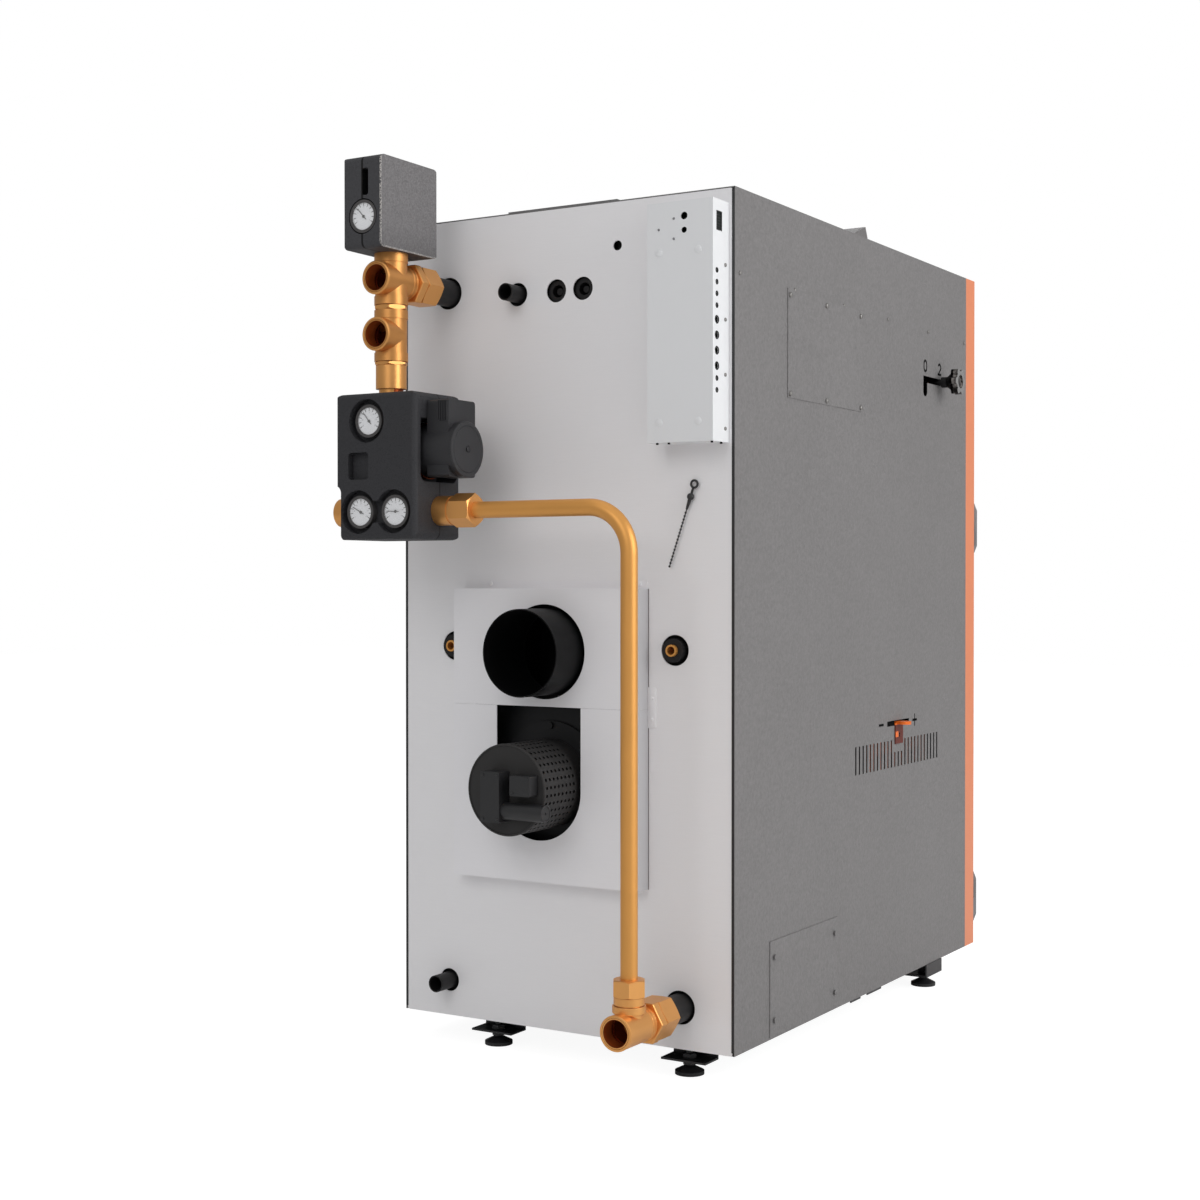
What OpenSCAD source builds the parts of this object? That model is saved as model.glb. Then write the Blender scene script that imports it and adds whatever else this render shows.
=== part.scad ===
// Log boiler: casing, vessel, fan, pump group and safety group.
// Casing frame: x = 0 on the middle, y = 0 on the rear sheet, z = 0 on the bottom edge.
// The doors face -y, the pipes leave towards +y, the lever side is -x.

/* [Casing] */
// Width over both side panels
case_w = 674; // [650:1:700]
// Height from the bottom edge to the top sheet
case_h = 1430; // [1410:1:1470]
// Depth from the rear sheet to the face of the front frame
case_d = 1133; // [1110:1:1180]
// Thickness of the casing sheets
sheet_t = 2; // [1.5:0.1:2.5]
// Width of the folded edges of the sheets
flange_w = 28; // [22:1:32]
// Step between the rear sheet's edge and the side panels' faces
rear_step = 4; // [3:0.5:6]
// Height of the bottom edge over the floor
foot_h = 50; // [46:1:60]
// Width of the lid over the cleaning opening
lid_w = 223; // [210:1:240]
// Length of that lid
lid_d = 460; // [440:1:480]

/* [Front] */
// Depth of the painted frame round the front
front_t = 52; // [46:1:60]
// Width of the frame's face
frame_face = 26; // [22:1:30]
// Height of the top of the lower door
door_h = 986; // [975:1:1000]
// Thickness of the door and of the panel over it
door_t = 18; // [16:1:22]
// How far the hinge axis stands inside the side face
hinge_in = 10; // [9.5:0.5:14]
// How far the hinge axis stands in front of the frame
hinge_out = 20; // [18:0.5:24]
// Length of a hinge over both halves
hinge_len = 108; // [96:1:120]
// Radius of the hinge pin
hinge_pin_r = 5; // [4:0.5:6]
// Length of the door handle's grip
handle_len = 150; // [120:1:180]

/* [Control console] */
// Width of the console
console_w = 280; // [260:1:320]
// Height of the console over the top sheet
console_h = 116; // [100:1:130]
// Length of its sloping back
console_back = 302; // [280:1:330]
// Depth of its display side
console_face = 59; // [50:1:70]

/* [Vessel] */
// Width of the welded vessel
vessel_w = 550; // [530:1:560]
// Thickness of the vessel's steel plates
plate_t = 5; // [4:0.5:6]
// Width of the fire side inside the vessel
fire_w = 380; // [360:1:400]
// Outer diameter of a smoke tube
tube_d = 60; // [54:1:64]
// Wall of a smoke tube
tube_wall = 3; // [2.5:0.5:4]
// Width of the fill opening
fill_w = 340; // [320:1:350]
// Height of the fill opening
fill_h = 330; // [300:1:340]
// Height of the ash opening
ash_h = 260; // [240:1:270]

/* [Flue and fan] */
// Outer diameter of the flue spigot
flue_d = 150; // [140:1:155]
// Height of the flue axis over the bottom edge
flue_z = 661; // [655:1:667]
// How far the flue spigot stands behind the rear sheet
flue_out = 110; // [90:1:130]
// Depth of the raised cover
cover_d = 33; // [28:1:38]
// Height of the fan axis over the bottom edge
fan_z = 431; // [427:1:435]
// Diameter of the perforated guard
guard_d = 155; // [150:1:160]
// How far the guard's end stands behind the rear sheet
guard_out = 131; // [126:1:136]
// Diameter of the fan wheel
wheel_d = 164; // [150:1:168]
// Number of blades on the fan wheel
blade_count = 10; // [8:1:14]

/* [Pipework] */
// Outer diameter of the steel flow and return pipes
steel_d = 48; // [46:0.5:50]
// Outer diameter of the brass crosses and tees
brass_d = 57; // [55:0.5:59]
// Bore of the brass crosses and tees
brass_bore = 44; // [40:0.5:46]
// Outer diameter of the copper return pipe
copper_d = 28; // [26:0.5:30]
// Radius of the bend in the copper pipe
bend_r = 75; // [70:1:90]
// Distance of the pipe plane behind the rear sheet
pipe_y = 168; // [165:1:172]
// Distance of the riser from the middle
riser_x = 240; // [236:1:242]
// Depth of the flow axis under the top sheet
flow_drop = 130; // [126:1:134]
// Height of the return axis over the bottom edge
return_z = 69.5; // [68:0.5:72]
// Distance of the return axis from the middle
return_x = 235; // [232:1:238]

/* [Pump group] */
// Width of the insulating shell
shell_w = 170; // [166:1:174]
// Height of the insulating shell
shell_h = 248; // [244:1:252]
// Depth of the insulating shell
shell_d = 129; // [126:1:132]
// Depth of the shell's top under the flow axis
shell_drop = 199; // [196:1:202]
// Diameter of a gauge
gauge_d = 56; // [52:1:58]
// Diameter of the round recess about a gauge
recess_d = 74; // [70:1:76]
// Diameter of the round pump motor
motor_d = 92; // [86:1:94]

/* [Levers] */
// Length of the kindling rod's slot between its two stops
rod_travel = 79; // [72:1:84]
// Radius of the kindling rod
rod_r = 6; // [5:0.5:6.5]
// Diameter of the star knob
knob_d = 56; // [50:1:60]
// How far the star knob's face stands off the side panel
knob_out = 46; // [44:1:52]
// Travel of the air lever to each side
air_travel = 45; // [40:1:46]
// Number of air slots in the side panel
vent_count = 25; // [21:2:27]
// Distance from one air slot to the next
vent_pitch = 17.35; // [16:0.05:18]

/* [Hidden] */
$fn = 64;

// Clearances shared by all pieces
over = 5;          // overrun of every cut
fit = 0.3;         // gap between pieces of different bodies
run_fit = 0.05;    // radial clearance of a shaft in its bore
step = 1;     // small step between a fitting and the next

// Casing planes
half_w = case_w / 2;
front_y = -case_d;
side_y = -(case_d - front_t);
skin_x = half_w - sheet_t;

// Base frame: pan, rails and foot brackets
rail_w = 40;
rail_wall = 4;
rail_x = 180;
rail_inset = 40;
bracket_w = 85;
bracket_l = 48;
bracket_h = 26;
bracket_t = 3.5;
rear_foot_y = -40;
rear_foot_right = 159;
rear_foot_left = -232;
foot_in = 22;
foot_back = 237;
foot_places = [
  [rear_foot_right, rear_foot_y, 0], [rear_foot_left, rear_foot_y, 0],
  [-(half_w - foot_in), front_y + foot_back, -90],
  [half_w - foot_in, front_y + foot_back, 90]
];
tab_drop = 7;
tab_in = 6;
tab_a = 489;
tab_a_len = 46;
tab_b = 567;
tab_b_len = 68;

// Levelling feet
foot_r = 25;
foot_disc_t = 6;
foot_neck_r = 9;
foot_neck_h = 14;
stem_r = 6;
foot_nut_r = 11;
foot_nut_t = 8;
foot_stem_top = 6;

// L-shaped slot of the kindling rod on the lever side
slot_front = 208;      // from the frame's face to the rod at its working stop
slot_drop = 237.25;    // from the top sheet to the rod
slot_h = 13.5;
leg_w = 22;
leg_drop = 34.75;
stop_gap = 1;
rod_y = front_y + slot_front;
rod_z = case_h - slot_drop;
leg_y = rod_y + rod_travel;
digit_h = 24;
digit_w = 18;
digit_t = 3;
digit_gap = 15;
bridge_w = 1.6;

// Air slots and the lever over them
air_front = 428;       // from the frame's face to the middle of the air lever
air_y = front_y + air_front;
vent_z = 419;
vent_h = 53;
vent_w = 6;
short_vent_h = 29;
air_z = 505;
blade_w = 20;
blade_t = 6;
air_slot_h = 10;
sign_w = 23;
sign_t = 3;
sign_gap = 31;
shutter_len = 300;
shutter_over = 2;
shutter_t = 2;
shutter_z = vent_z - shutter_over;
shutter_h = vent_h + 2 * shutter_over;
rail_t = 4;
rail_lip = 3;
rail_len = 400;
tag_w = 39;
tag_h = 34;
tag_gap = 7;
tag_t = 2;
tag_window = 8;
finger_out = 26;
finger_r = 15;

// Service plates on the lever side
hatch_t = 1.5;
top_hatch_y = -521;
top_hatch_len = 322;
top_hatch_top = 140;
top_hatch_h = 189;
low_hatch_y = -411;
low_hatch_len = 280;
low_hatch_z = 4;
low_hatch_h = 164;
hook_in = 15;
hook_z_in = 28;
hook_r = 3;
hook_out = 4;
hook_head_r = 5;
hook_head_t = 1.5;

// Rear sheet: openings for the pipes
flow_z = case_h - flow_drop;
stub_drop = 13.5;
stub_z = flow_z - stub_drop;
hole_play = 4.5;
aux_x = 91;
aux_d = 30;
aux_out = 39;
sensor_x = [10, -44];
sensor_d = 36;
sensor_bore = 22;
sensor_pin_d = 12;
sensor_in = 6;
coil_x = 225.5;
coil_z = 667;
sleeve_play = 6;
sleeve_d = 40;
sleeve_out = 15;
coil_d = 20;
coil_bore = 14;
drain_x = 239;
drain_z = 63.5;
drain_out = 43;
cable_x = -113.5;
cable_w = 17;
cable_h = 20;
cable_drop = 78;

// Raised cover over flue and fan
cover_x0 = -174;
cover_w = 379;
cover_z0 = 262;
cover_h = 508;
cover_t = 1.5;
cover_split = 566;
cover_lip = 13;
cover_lip_in = 40;
window_in = 22;
flue_x = 14;
flue_hole_play = 7;
fan_x = 26.5;
fan_play = 9;
fan_hole_rise = -10.5;

// Flue box and spigot
flue_wall = 2;
box_wall = 4;
box_x0 = -100;
box_w = 230;
box_z0 = 160;
box_top_over = 14;
box_front = 12;
spigot_rim = 15;
spigot_rim_t = 3;
exhaust_w = 180;
exhaust_z0 = 175;
exhaust_h = 100;

// Fan
fan_plate_r = 108;
fan_plate_t = 5;
fan_mouth_r = 92;
fan_bolt_head_r = 6;
fan_bolt_t = 4;
fan_bolts = 6;
shaft_r = 6;
shaft_play = 1;
guard_t = 1.5;
guard_hole_d = 5;
guard_rows = 8;
guard_pitch = 12;
guard_cols = 36;
guard_row_end = 6;
motor_r = 55;
motor_len = 70;
motor_cap_r = 30;
motor_cap_len = 16;
shaft_len = 60;
wheel_gap = 26;
wheel_t = 3;
blade_h = 42;
blade_t2 = 2.5;
blade_r = 52;
blade_inner = 34;
wheel_eye_r = 46;
hub_r = 16;

// Boxes on the guard's end
junction_x0 = -7;
junction_w = 38;
junction_z0 = -52;
junction_h = 85;
junction_d = 32;
switch_x0 = -64;
switch_w = 40;
switch_z0 = -6;
switch_h = 34;
switch_d = 26;
cap_d = 29;
cap_x = -87;
cap_z = -33;

steel_bore = 41;
steel_y = 75;

// Pipes through the rear sheet: x, z, outer radius, bore radius, radial play in the sheet, end
ports = [
  [riser_x, flow_z, steel_d / 2, steel_bore / 2, hole_play, steel_y],
  [-return_x, return_z, steel_d / 2, steel_bore / 2, hole_play, steel_y],
  [aux_x, stub_z, aux_d / 2, aux_d / 2 - flue_wall, hole_play + step, aux_out],
  [drain_x, drain_z, aux_d / 2, aux_d / 2 - flue_wall, hole_play + step, drain_out],
  [sensor_x[0], stub_z, sensor_d / 2, sensor_bore / 2, 2 * step, -sensor_in],
  [sensor_x[1], stub_z, sensor_d / 2, sensor_bore / 2, 2 * step, -sensor_in],
  [coil_x, coil_z, sleeve_d / 2, coil_d / 2 + fit, sleeve_play, sleeve_out - sensor_in],
  [-coil_x, coil_z, sleeve_d / 2, coil_d / 2 + fit, sleeve_play, sleeve_out - sensor_in]
];

// Electrical box
ebox_x0 = -327;
ebox_w = 122;
ebox_drop = 27;
ebox_h = 393;
ebox_d = 58;
ebox_t = 1.5;
ebox_z1 = case_h - ebox_drop;
port_back = 14;
small_port_r = 2.6;
large_port_r = 5.2;
small_pitch = 19;
large_pitch = 25;
small_first = 116;
large_first = 196;
small_last = 291;
socket_drop = 19;
socket_h = 32;
socket_y0 = 26;
socket_d = 20;
face_hole_x = 53;
face_hole_a = 25;
face_hole_b = 48;
face_ra = 6.2;
face_rb = 5;
board_gap = 12;
board_t = 1.6;
board_in = 7;
board_rise = 30;
post_r = 3;

// Bead tie
tie_x = -258;
tie_z = 923;
tie_angle = 19;
tie_ball_r = 6;
tie_eye_r = 6;
tie_eye_t = 2;
tie_eye_rise = 22;
taper_len = 22;
tie_taper_r = 3.6;
tie_core_r = 1;
tie_bead_r = 2;
bead_pitch = 5.9;
tie_beads = 17;
tie_peg_r = 2;
tie_peg_len = 8;

// Front door and its liner
panel_in = 28;
door_z0 = 18;
door_gap = 0.5;
door_wall = 2;
rung_h = 14;
door_top_gap = 4;
panel_gap = 14;
panel_top_in = 18;
liner_in = 107;
liner_z0 = 70;
liner_top_in = 26;
seal_w = 14;
seal_t = 15;
seal_over = 8;
hinge_r = 9;
hinge_tip = 16;
hinge_tip_r = 3;
hinge_low = 43;
hinge_high = 844;
split_z = 53;
hinge_leaf = 8;
pin_len = 44;
pin_end_gap = 3;
handle_in = 67;
handle_z = 600;
boss_r = 16;
boss_t = 10;
handle_shaft_r = 6;
grip_r = 9;
grip_off = 14;
cam_len = 62;
cam_w = 18;
cam_t = 5;
cam_back = 6;

// Console
console_wall = 3;
console_front = 74;
disp_w = 170;
disp_h = 96;
disp_x = -30;
disp_t = 4;
disp_rise = 17;
disp_proud = 1;
switch_x = 110;
rocker_z = 62;
rocker_w = 16;
rocker_len = 30;
rocker_sink = 8;
cradle_w = 26;
cradle_len = 36;
axle_r = 2;
rocker_tilt = 8;
face_angle = atan2(console_h, console_face);
console_y = front_y + console_front;

// Vessel
vessel_x = vessel_w / 2;
vessel_back = 130;
vessel_front = 73;
vessel_low = 40;
vessel_top_in = 85;
fire_x = fire_w / 2;
fire_low = 130;
fire_top_in = 160;
fire_back = 350;
y_rear = -vessel_back;
y_front = front_y + vessel_front;
y_split = y_rear - fire_back;
z_low = vessel_low;
z_top = case_h - vessel_top_in;
fire_z1 = case_h - fire_top_in;
fill_z = 600;
ash_z = 170;
ash_w = 300;
pass_w = 260;
pass_z = 175;
pass_h = 85;
sheet_low = 300;
sheet_high_in = 280;
sheet_thick = 10;
sheet_high = case_h - sheet_high_in;
tubes_x = 5;
tubes_y = 3;
tube_pitch = 80;
tube_first = 60;
lid_hole_x = 85;
lid_hole_back = 70;
lid_hole_d = 240;
lid_hole_y1 = y_rear - lid_hole_back;
liner_t = 4;
liner_play = 4;
liner_top_gap = 120;
block_z = 500;
block_h = 60;
block_play = 1;
nozzle_w = 30;
nozzle_len = 260;
nozzle_end = 150;
trough_wall = 60;
trough_floor = 40;
water_hole_r = 20;

// Kindling flap and its crank
crank_r = rod_travel;
crank_angle = 30;
flap_gap = 13;
flap_y = y_split + plate_t + flap_gap;
flap_z = rod_z + crank_r * cos(crank_angle);
flap_shaft_r = 8;
flap_w = 210;
flap_t = 6;
flap_len = 92;
flap_hole_w = 190;
flap_hole_h = 66;
flap_hole_drop = 14;
boss_w = 12;
boss_h = 24;
crank_off = 4;
crank_t = 6;
crank_w = 20;
crank_pin_r = 5;
crank_pin_len = 20;
bar_t = 6;
bar_h = 20;
bar_gap = 6;
eye_play = 1.5;
eye_wall = 7;
lug_t = 14;
lug_wall = 5;
lug_places = [150, 300];
collar_r = 11;
collar_len = 12;
knob_t = 15;
knob_lobes = 6;
knob_lobe_r = 7;
knob_rim = 3;

// Insulation
wool_in = 2.4;
wool_top = 50;
wool_end = 12;
channel_front = 30;
channel_h = 170;
channel_low = 46;
channel_over = 16;

// Safety coil
coil_back = 32;
coil_low_in = 60;
coil_legs = 6;
coil_bend = 30;

// Brass and nuts
nut_af = 62;
nut_len = 30;
arm_out = 43;
tee_drop = 96;
tee_arm = 44;
nipple_r = 26.5;
nipple_len = 7;
band_r = 29;
band_len = 15;
arm_socket = 30;
neck_len = 18;
turned_share = 0.97;
cross_down = 43;
cross_top = 140;
coupling_r = 26.5;
coupling_len = 40;
riser_r = 21;
riser_bore = 17;
collar_up = 39;
collar_top_r = 22;
ring_r = 25;
ring_len = 12;
small_nut_af = 50;
small_nut_len = 28;
copper_wall = 1.5;

// Pump group
shell_top = flow_z - shell_drop;
shell_z = shell_top - shell_h;
shell_left = 103;
shell_x = riser_x - shell_left;
shell_front = 60;
shell_y0 = pipe_y - shell_front;
shell_y1 = shell_y0 + shell_d;
shell_seam = pipe_y;
shell_r = 14;
shell_edge_r = 9;
shell_step = 12;
shell_step_z = 92;
epp_play = 0.3;
seam_gap = 0.2;
run_rise = 49;
run_z = shell_z + run_rise;
run_r = 25;
run_bore = 20;
run_left = 108;
run_right = 132;
gauge_top = 47;
gauge_left_x = 18;
gauge_right_x = -56;
gauge_low_z = 47;
recess_depth = 18;
gauge_len = 12;
bezel_w = 5;
dial_back = 4;
dial_t = 2;
pocket_r = 5;
square_x = -4;
square_w = 43;
square_z = 102;
square_h = 46;
square_depth = 14;
square_r = 6;
pump_rise = 151;
pump_z = shell_z + pump_rise;
volute_r = 48;
volute_x0 = -82;
volute_len = 62;
volute_bore = 36;
volute_deep = 26;
cavity_y0 = 50;
cavity_d = 104;
cavity_z = 56;
cavity_h = 140;
cavity_x = 42;
head_end = 158;
head_wall = 8;
head_bore = 28;
ebrick_x = 148;
ebrick_t = 44;
ebrick_y = 40;
ebrick_w = 77;
ebrick_z = 46;
ebrick_h = 129;
ebrick_r = 6;
rotor_r = 22;
rotor_gap = 3;
rotor_pin_r = 4;
rotor_pin_len = 5;
vane_r = 33;
vane_t = 14;
vane_gap = 4;

// Needles
needle_r = 2.6;
needle_len = 19;
needle_tail = 7;
needle_w = 1.2;
needle_t = 0.8;
needle_gap = 0.4;
needle_pin_r = 0.9;
needle_pin_len = 1.2;
riser_reading = 40;
inlet_reading = 62;
outlet_reading = 88;
pressure_reading = 42;

// Safety group
safety_w = 79;
safety_y0 = 87;
safety_d = 159;
safety_z = 45;
safety_h = 155;
safety_r = 10;
press_z = 98;
press_play = 2;
press_len = 14;
grip_slot_w = 13;
grip_slot_h = 46;
grip_slot_z = 133;
grip_slot_deep = 20;

// Origin of the part: on the floor, under the middle of its outer box
x_low = -(half_w + knob_out);
x_high = riser_x + run_left;
y_low = front_y - door_gap - door_t - boss_t - grip_off - grip_r;
y_high = safety_y0 + safety_d;
shift_x = -(x_low + x_high) / 2;
shift_y = -(y_low + y_high) / 2;

module place() {
  translate([shift_x, shift_y, foot_h]) children();
}

// A block from its lowest to its highest corner
module block(low, high) {
  translate(low) cube(high - low);
}

// Round bars along the three directions
module bar_x(x0, x1, y, z, r) {
  translate([x0, y, z]) rotate([0, 90, 0]) cylinder(h = x1 - x0, r = r);
}

module bar_y(y0, y1, x, z, r) {
  translate([x, y0, z]) rotate([-90, 0, 0]) cylinder(h = y1 - y0, r = r);
}

module bar_z(z0, z1, x, y, r) {
  translate([x, y, z0]) cylinder(h = z1 - z0, r = r);
}

// Flat outlines pushed along y, x and z
module sheet_xz(y0, y1) {
  translate([0, y1, 0]) rotate([90, 0, 0]) linear_extrude(y1 - y0) children();
}

module sheet_yz(x0, x1) {
  translate([x0, 0, 0]) rotate([90, 0, 90]) linear_extrude(x1 - x0) children();
}

module sheet_xy(z0, z1) {
  translate([0, 0, z0]) linear_extrude(z1 - z0) children();
}

// Outline with round corners
module rounded(low, high, r) {
  translate([low.x + r, low.y]) square([high.x - low.x - 2 * r, high.y - low.y]);
  translate([low.x, low.y + r]) square([high.x - low.x, high.y - low.y - 2 * r]);
  for (x = [low.x + r, high.x - r], y = [low.y + r, high.y - r]) translate([x, y]) circle(r);
}

module patch(low, high) {
  translate(low) square(high - low);
}

// Hexagon nuts with turned corners, sized over their flats
module nut(h, af, bore) {
  low = af * turned_share / 2;
  difference() {
    intersection() {
      cylinder(h = h, r = af / sqrt(3), $fn = 6);
      cylinder(h = h, r1 = low, r2 = low + 2 * h);
      cylinder(h = h, r1 = low + 2 * h, r2 = low);
    }
    translate([0, 0, -over]) cylinder(h = h + 2 * over, r = bore);
  }
}

module nut_y(y0, y1, x, z, af, bore) {
  translate([x, y0, z]) rotate([-90, 0, 0]) nut(y1 - y0, af, bore);
}

module nut_z(z0, z1, x, y, af, bore) {
  translate([x, y, z0]) nut(z1 - z0, af, bore);
}

// Base frame with pan, two rails and four foot brackets
module foot_bracket() {
  difference() {
    block([-bracket_w / 2, -bracket_l / 2, -bracket_h], [bracket_w / 2, bracket_l / 2, 0]);
    block([-bracket_w / 2 - over, -bracket_l / 2 + bracket_t, -bracket_h + bracket_t],
      [bracket_w / 2 + over, bracket_l / 2 + over, -bracket_t]);
    bar_z(-bracket_h - over, -bracket_t - over, 0, 0, stem_r + fit);
  }
}

module base_frame() {
  color([0.16, 0.16, 0.17]) place() {
    block([-skin_x, side_y + sheet_t, 0], [skin_x, -2 * sheet_t, sheet_t]);
    for (s = [0, 1]) mirror([s, 0, 0]) {
      block([skin_x - sheet_t, side_y + sheet_t, 0], [skin_x, -2 * sheet_t, flange_w]);
      translate([rail_x, 0, 0]) difference() {
        block([-rail_w / 2, y_front + rail_inset, 0], [rail_w / 2, y_rear - rail_inset, z_low]);
        block([-rail_w / 2 + rail_wall, y_front, sheet_t],
          [rail_w / 2 - rail_wall, y_rear, z_low - rail_wall]);
      }
    }
    for (p = foot_places) translate([p.x, p.y, 0]) rotate([0, 0, p.z]) foot_bracket();
    for (t = [[tab_a, tab_a_len], [tab_b, tab_b_len]])
      block([-half_w + tab_in, -t.x - t.y, -tab_drop], [-half_w + tab_in + sheet_t, -t.x, 0]);
  }
}

module levelling_feet() {
  color([0.1, 0.1, 0.11]) place() for (p = foot_places) translate([p.x, p.y, 0]) {
    rotate_extrude() polygon([
      [0, -foot_h], [foot_r, -foot_h], [foot_r, -foot_h + foot_disc_t],
      [foot_neck_r, -foot_h + foot_neck_h], [stem_r, -foot_h + foot_neck_h],
      [stem_r, -foot_stem_top], [0, -foot_stem_top]
    ]);
    nut_z(-bracket_h - foot_nut_t, -bracket_h, 0, 0, 2 * foot_nut_r, 0.9 * stem_r);
    nut_z(-bracket_h + bracket_t, -bracket_h + bracket_t + foot_nut_t, 0, 0, 2 * foot_nut_r,
      0.9 * stem_r);
  }
}

// Side panel with folded edges, drawn for the lever side
module side_sheet() {
  block([-half_w, side_y, 0], [-skin_x, 0, case_h]);
  block([-half_w, -2 * sheet_t, 0], [-half_w + flange_w, -sheet_t, case_h - 2 * sheet_t]);
  block([-half_w, side_y, 0], [-half_w + flange_w, side_y + sheet_t, case_h - 2 * sheet_t]);
  block([-half_w, side_y, case_h - 2 * sheet_t], [-half_w + flange_w, -sheet_t, case_h - sheet_t]);
}

// Stencil figures beside the slot, in the plane of the panel
module long_round(r) {
  for (y = [digit_w / 2, digit_h - digit_w / 2]) translate([0, y]) circle(r);
  patch([-r, digit_w / 2], [r, digit_h - digit_w / 2]);
}

module figure_zero() {
  difference() {
    long_round(digit_w / 2);
    long_round(digit_w / 2 - digit_t);
    patch([-bridge_w / 2, -over], [bridge_w / 2, digit_h + over]);
  }
}

module figure_two() {
  r = digit_w / 2;
  translate([0, digit_h - r]) difference() {
    circle(r);
    circle(r - digit_t);
    rotate(-30) patch([-2 * r, -2 * r], [2 * r, 0]);
    patch([-2 * r, -2 * r], [0, 0]);
  }
  polygon([[-r, 0], [-r + digit_t, 0], [r, digit_h - r], [r - digit_t, digit_h - r]]);
  patch([-r, 0], [r, digit_t]);
}

module lever_slot() {
  patch([leg_y - leg_w / 2, rod_z - leg_drop + leg_w / 2], [leg_y + leg_w / 2, rod_z + slot_h / 2]);
  translate([leg_y, rod_z - leg_drop + leg_w / 2]) circle(leg_w / 2);
  patch([rod_y - rod_r - stop_gap, rod_z - slot_h / 2], [leg_y, rod_z + slot_h / 2]);
  translate([leg_y, rod_z + digit_gap]) mirror([1, 0]) figure_zero();
  translate([rod_y, rod_z + digit_gap]) mirror([1, 0]) figure_two();
}

module air_slots() {
  for (i = [0 : vent_count - 1]) {
    k = i - (vent_count - 1) / 2;
    h = abs(k) < 2 ? short_vent_h : vent_h;
    patch([air_y + k * vent_pitch - vent_w / 2, vent_z], [air_y + k * vent_pitch + vent_w / 2, vent_z + h]);
  }
  patch([air_y - air_travel - blade_w / 2 - stop_gap, air_z - air_slot_h / 2],
    [air_y + air_travel + blade_w / 2 + stop_gap, air_z + air_slot_h / 2]);
  slot_end = air_travel + blade_w / 2 + sign_gap;
  for (m = [[slot_end, sign_w, sign_t], [-slot_end, sign_w, sign_t], [-slot_end, sign_t, sign_w]])
    translate([air_y + m.x, air_z]) square([m.y, m.z], center = true);
}

// Guides of the air shutter on the panel's inner face
module shutter_rails() {
  inner = skin_x - fit - shutter_t - fit;
  open = air_travel + blade_w / 2 + stop_gap;
  for (z = [shutter_z - fit - rail_t, shutter_z + shutter_h + fit], s = [-1, 1])
    block([-skin_x, air_y + (s > 0 ? open : -rail_len / 2), z],
      [-inner + rail_lip, air_y + (s > 0 ? rail_len / 2 : -open), z + rail_t]);
  for (z = [shutter_z - fit - rail_t, shutter_z + shutter_h + fit - rail_t], s = [-1, 1])
    block([-inner, air_y + (s > 0 ? open : -rail_len / 2), z],
      [-inner + rail_lip, air_y + (s > 0 ? rail_len / 2 : -open), z + 2 * rail_t]);
}

module lever_side_panel() {
  color([0.5, 0.5, 0.51]) place() {
    difference() {
      side_sheet();
      sheet_yz(-half_w - over, -skin_x + over) {
        lever_slot();
        air_slots();
      }
    }
    shutter_rails();
  }
}

module plain_side_panel() {
  color([0.5, 0.5, 0.51]) place() mirror([1, 0, 0]) side_sheet();
}

// Rear sheet with all its openings
module rear_panel() {
  color([0.77, 0.77, 0.78]) place() difference() {
    sheet_xz(-sheet_t, 0)
      rounded([-half_w + rear_step, 0], [half_w - rear_step, case_h - sheet_t - fit], rear_step);
    for (p = ports) bar_y(-sheet_t - over, over, p[0], p[1], p[2] + p[4]);
    bar_y(-sheet_t - over, over, tie_x, tie_z, tie_peg_r + fit);
    bar_y(-sheet_t - over, over, cable_x, case_h - cable_drop + cable_h / 2 - cable_w / 2,
      cable_w / 2);
    block([cable_x - cable_w / 2, -sheet_t - over, case_h - cable_drop],
      [cable_x + cable_w / 2, over, case_h - cable_drop + cable_h / 2 - cable_w / 2
        + fit]);
    block([cover_x0 + window_in, -sheet_t - over, cover_z0 + window_in],
      [cover_x0 + cover_w - window_in, over, cover_z0 + cover_h - window_in]);
  }
}

// Top sheet and the lid of the cleaning opening
lid_x = lid_w / 2;
lid_rim = 7;

module top_panel() {
  color([0.3, 0.3, 0.31]) place() difference() {
    block([-skin_x, side_y, case_h - sheet_t], [skin_x, 0, case_h]);
    block([-lid_x + lid_rim, -lid_d + lid_rim, case_h - sheet_t - over],
      [lid_x - lid_rim, -lid_rim, case_h + over]);
  }
}

lid_play = 3;
lid_plate_y0 = -lid_d + lid_rim + lid_play;
lid_lap = 20;
lid_t = 3;

module cleaning_lid() {
  y1 = lid_hole_y1 + lid_lap;
  color([0.3, 0.3, 0.31]) place() {
    block([-lid_x, -lid_d, case_h], [lid_x, -sheet_t, case_h + lid_t]);
    block([-lid_x + lid_rim + lid_play, lid_plate_y0, z_top + fit],
      [lid_x - lid_rim - lid_play, y1, z_top + fit + plate_t]);
    block([-lid_hole_x, lid_plate_y0, z_top + fit + plate_t], [lid_hole_x, y1, case_h]);
  }
}

// Raised cover in two halves
module cover_half(z0, z1, top, bottom) {
  difference() {
    block([cover_x0, 0, z0], [cover_x0 + cover_w, cover_d, z1]);
    block([cover_x0 + cover_t, -over, z0 + bottom],
      [cover_x0 + cover_w - cover_t, cover_d - cover_t, z1 - top]);
    bar_y(-over, cover_d + over, flue_x, flue_z, flue_d / 2 + flue_hole_play);
    bar_y(-over, cover_d + over, fan_x, fan_z + fan_hole_rise, guard_d / 2 + fan_play);
    block([fan_x - guard_d / 2 - fan_play, -over, fan_z + fan_hole_rise],
      [fan_x + guard_d / 2 + fan_play, cover_d + over, cover_split]);
  }
}

module flue_cover_upper() {
  color([0.82, 0.82, 0.83]) place() {
    cover_half(cover_split + fit, cover_z0 + cover_h, cover_t, -over);
    block([cover_x0 + cover_t, 0, cover_z0 + cover_h],
      [cover_x0 + cover_w - cover_lip_in, cover_t, cover_z0 + cover_h + cover_lip]);
  }
}

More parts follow.
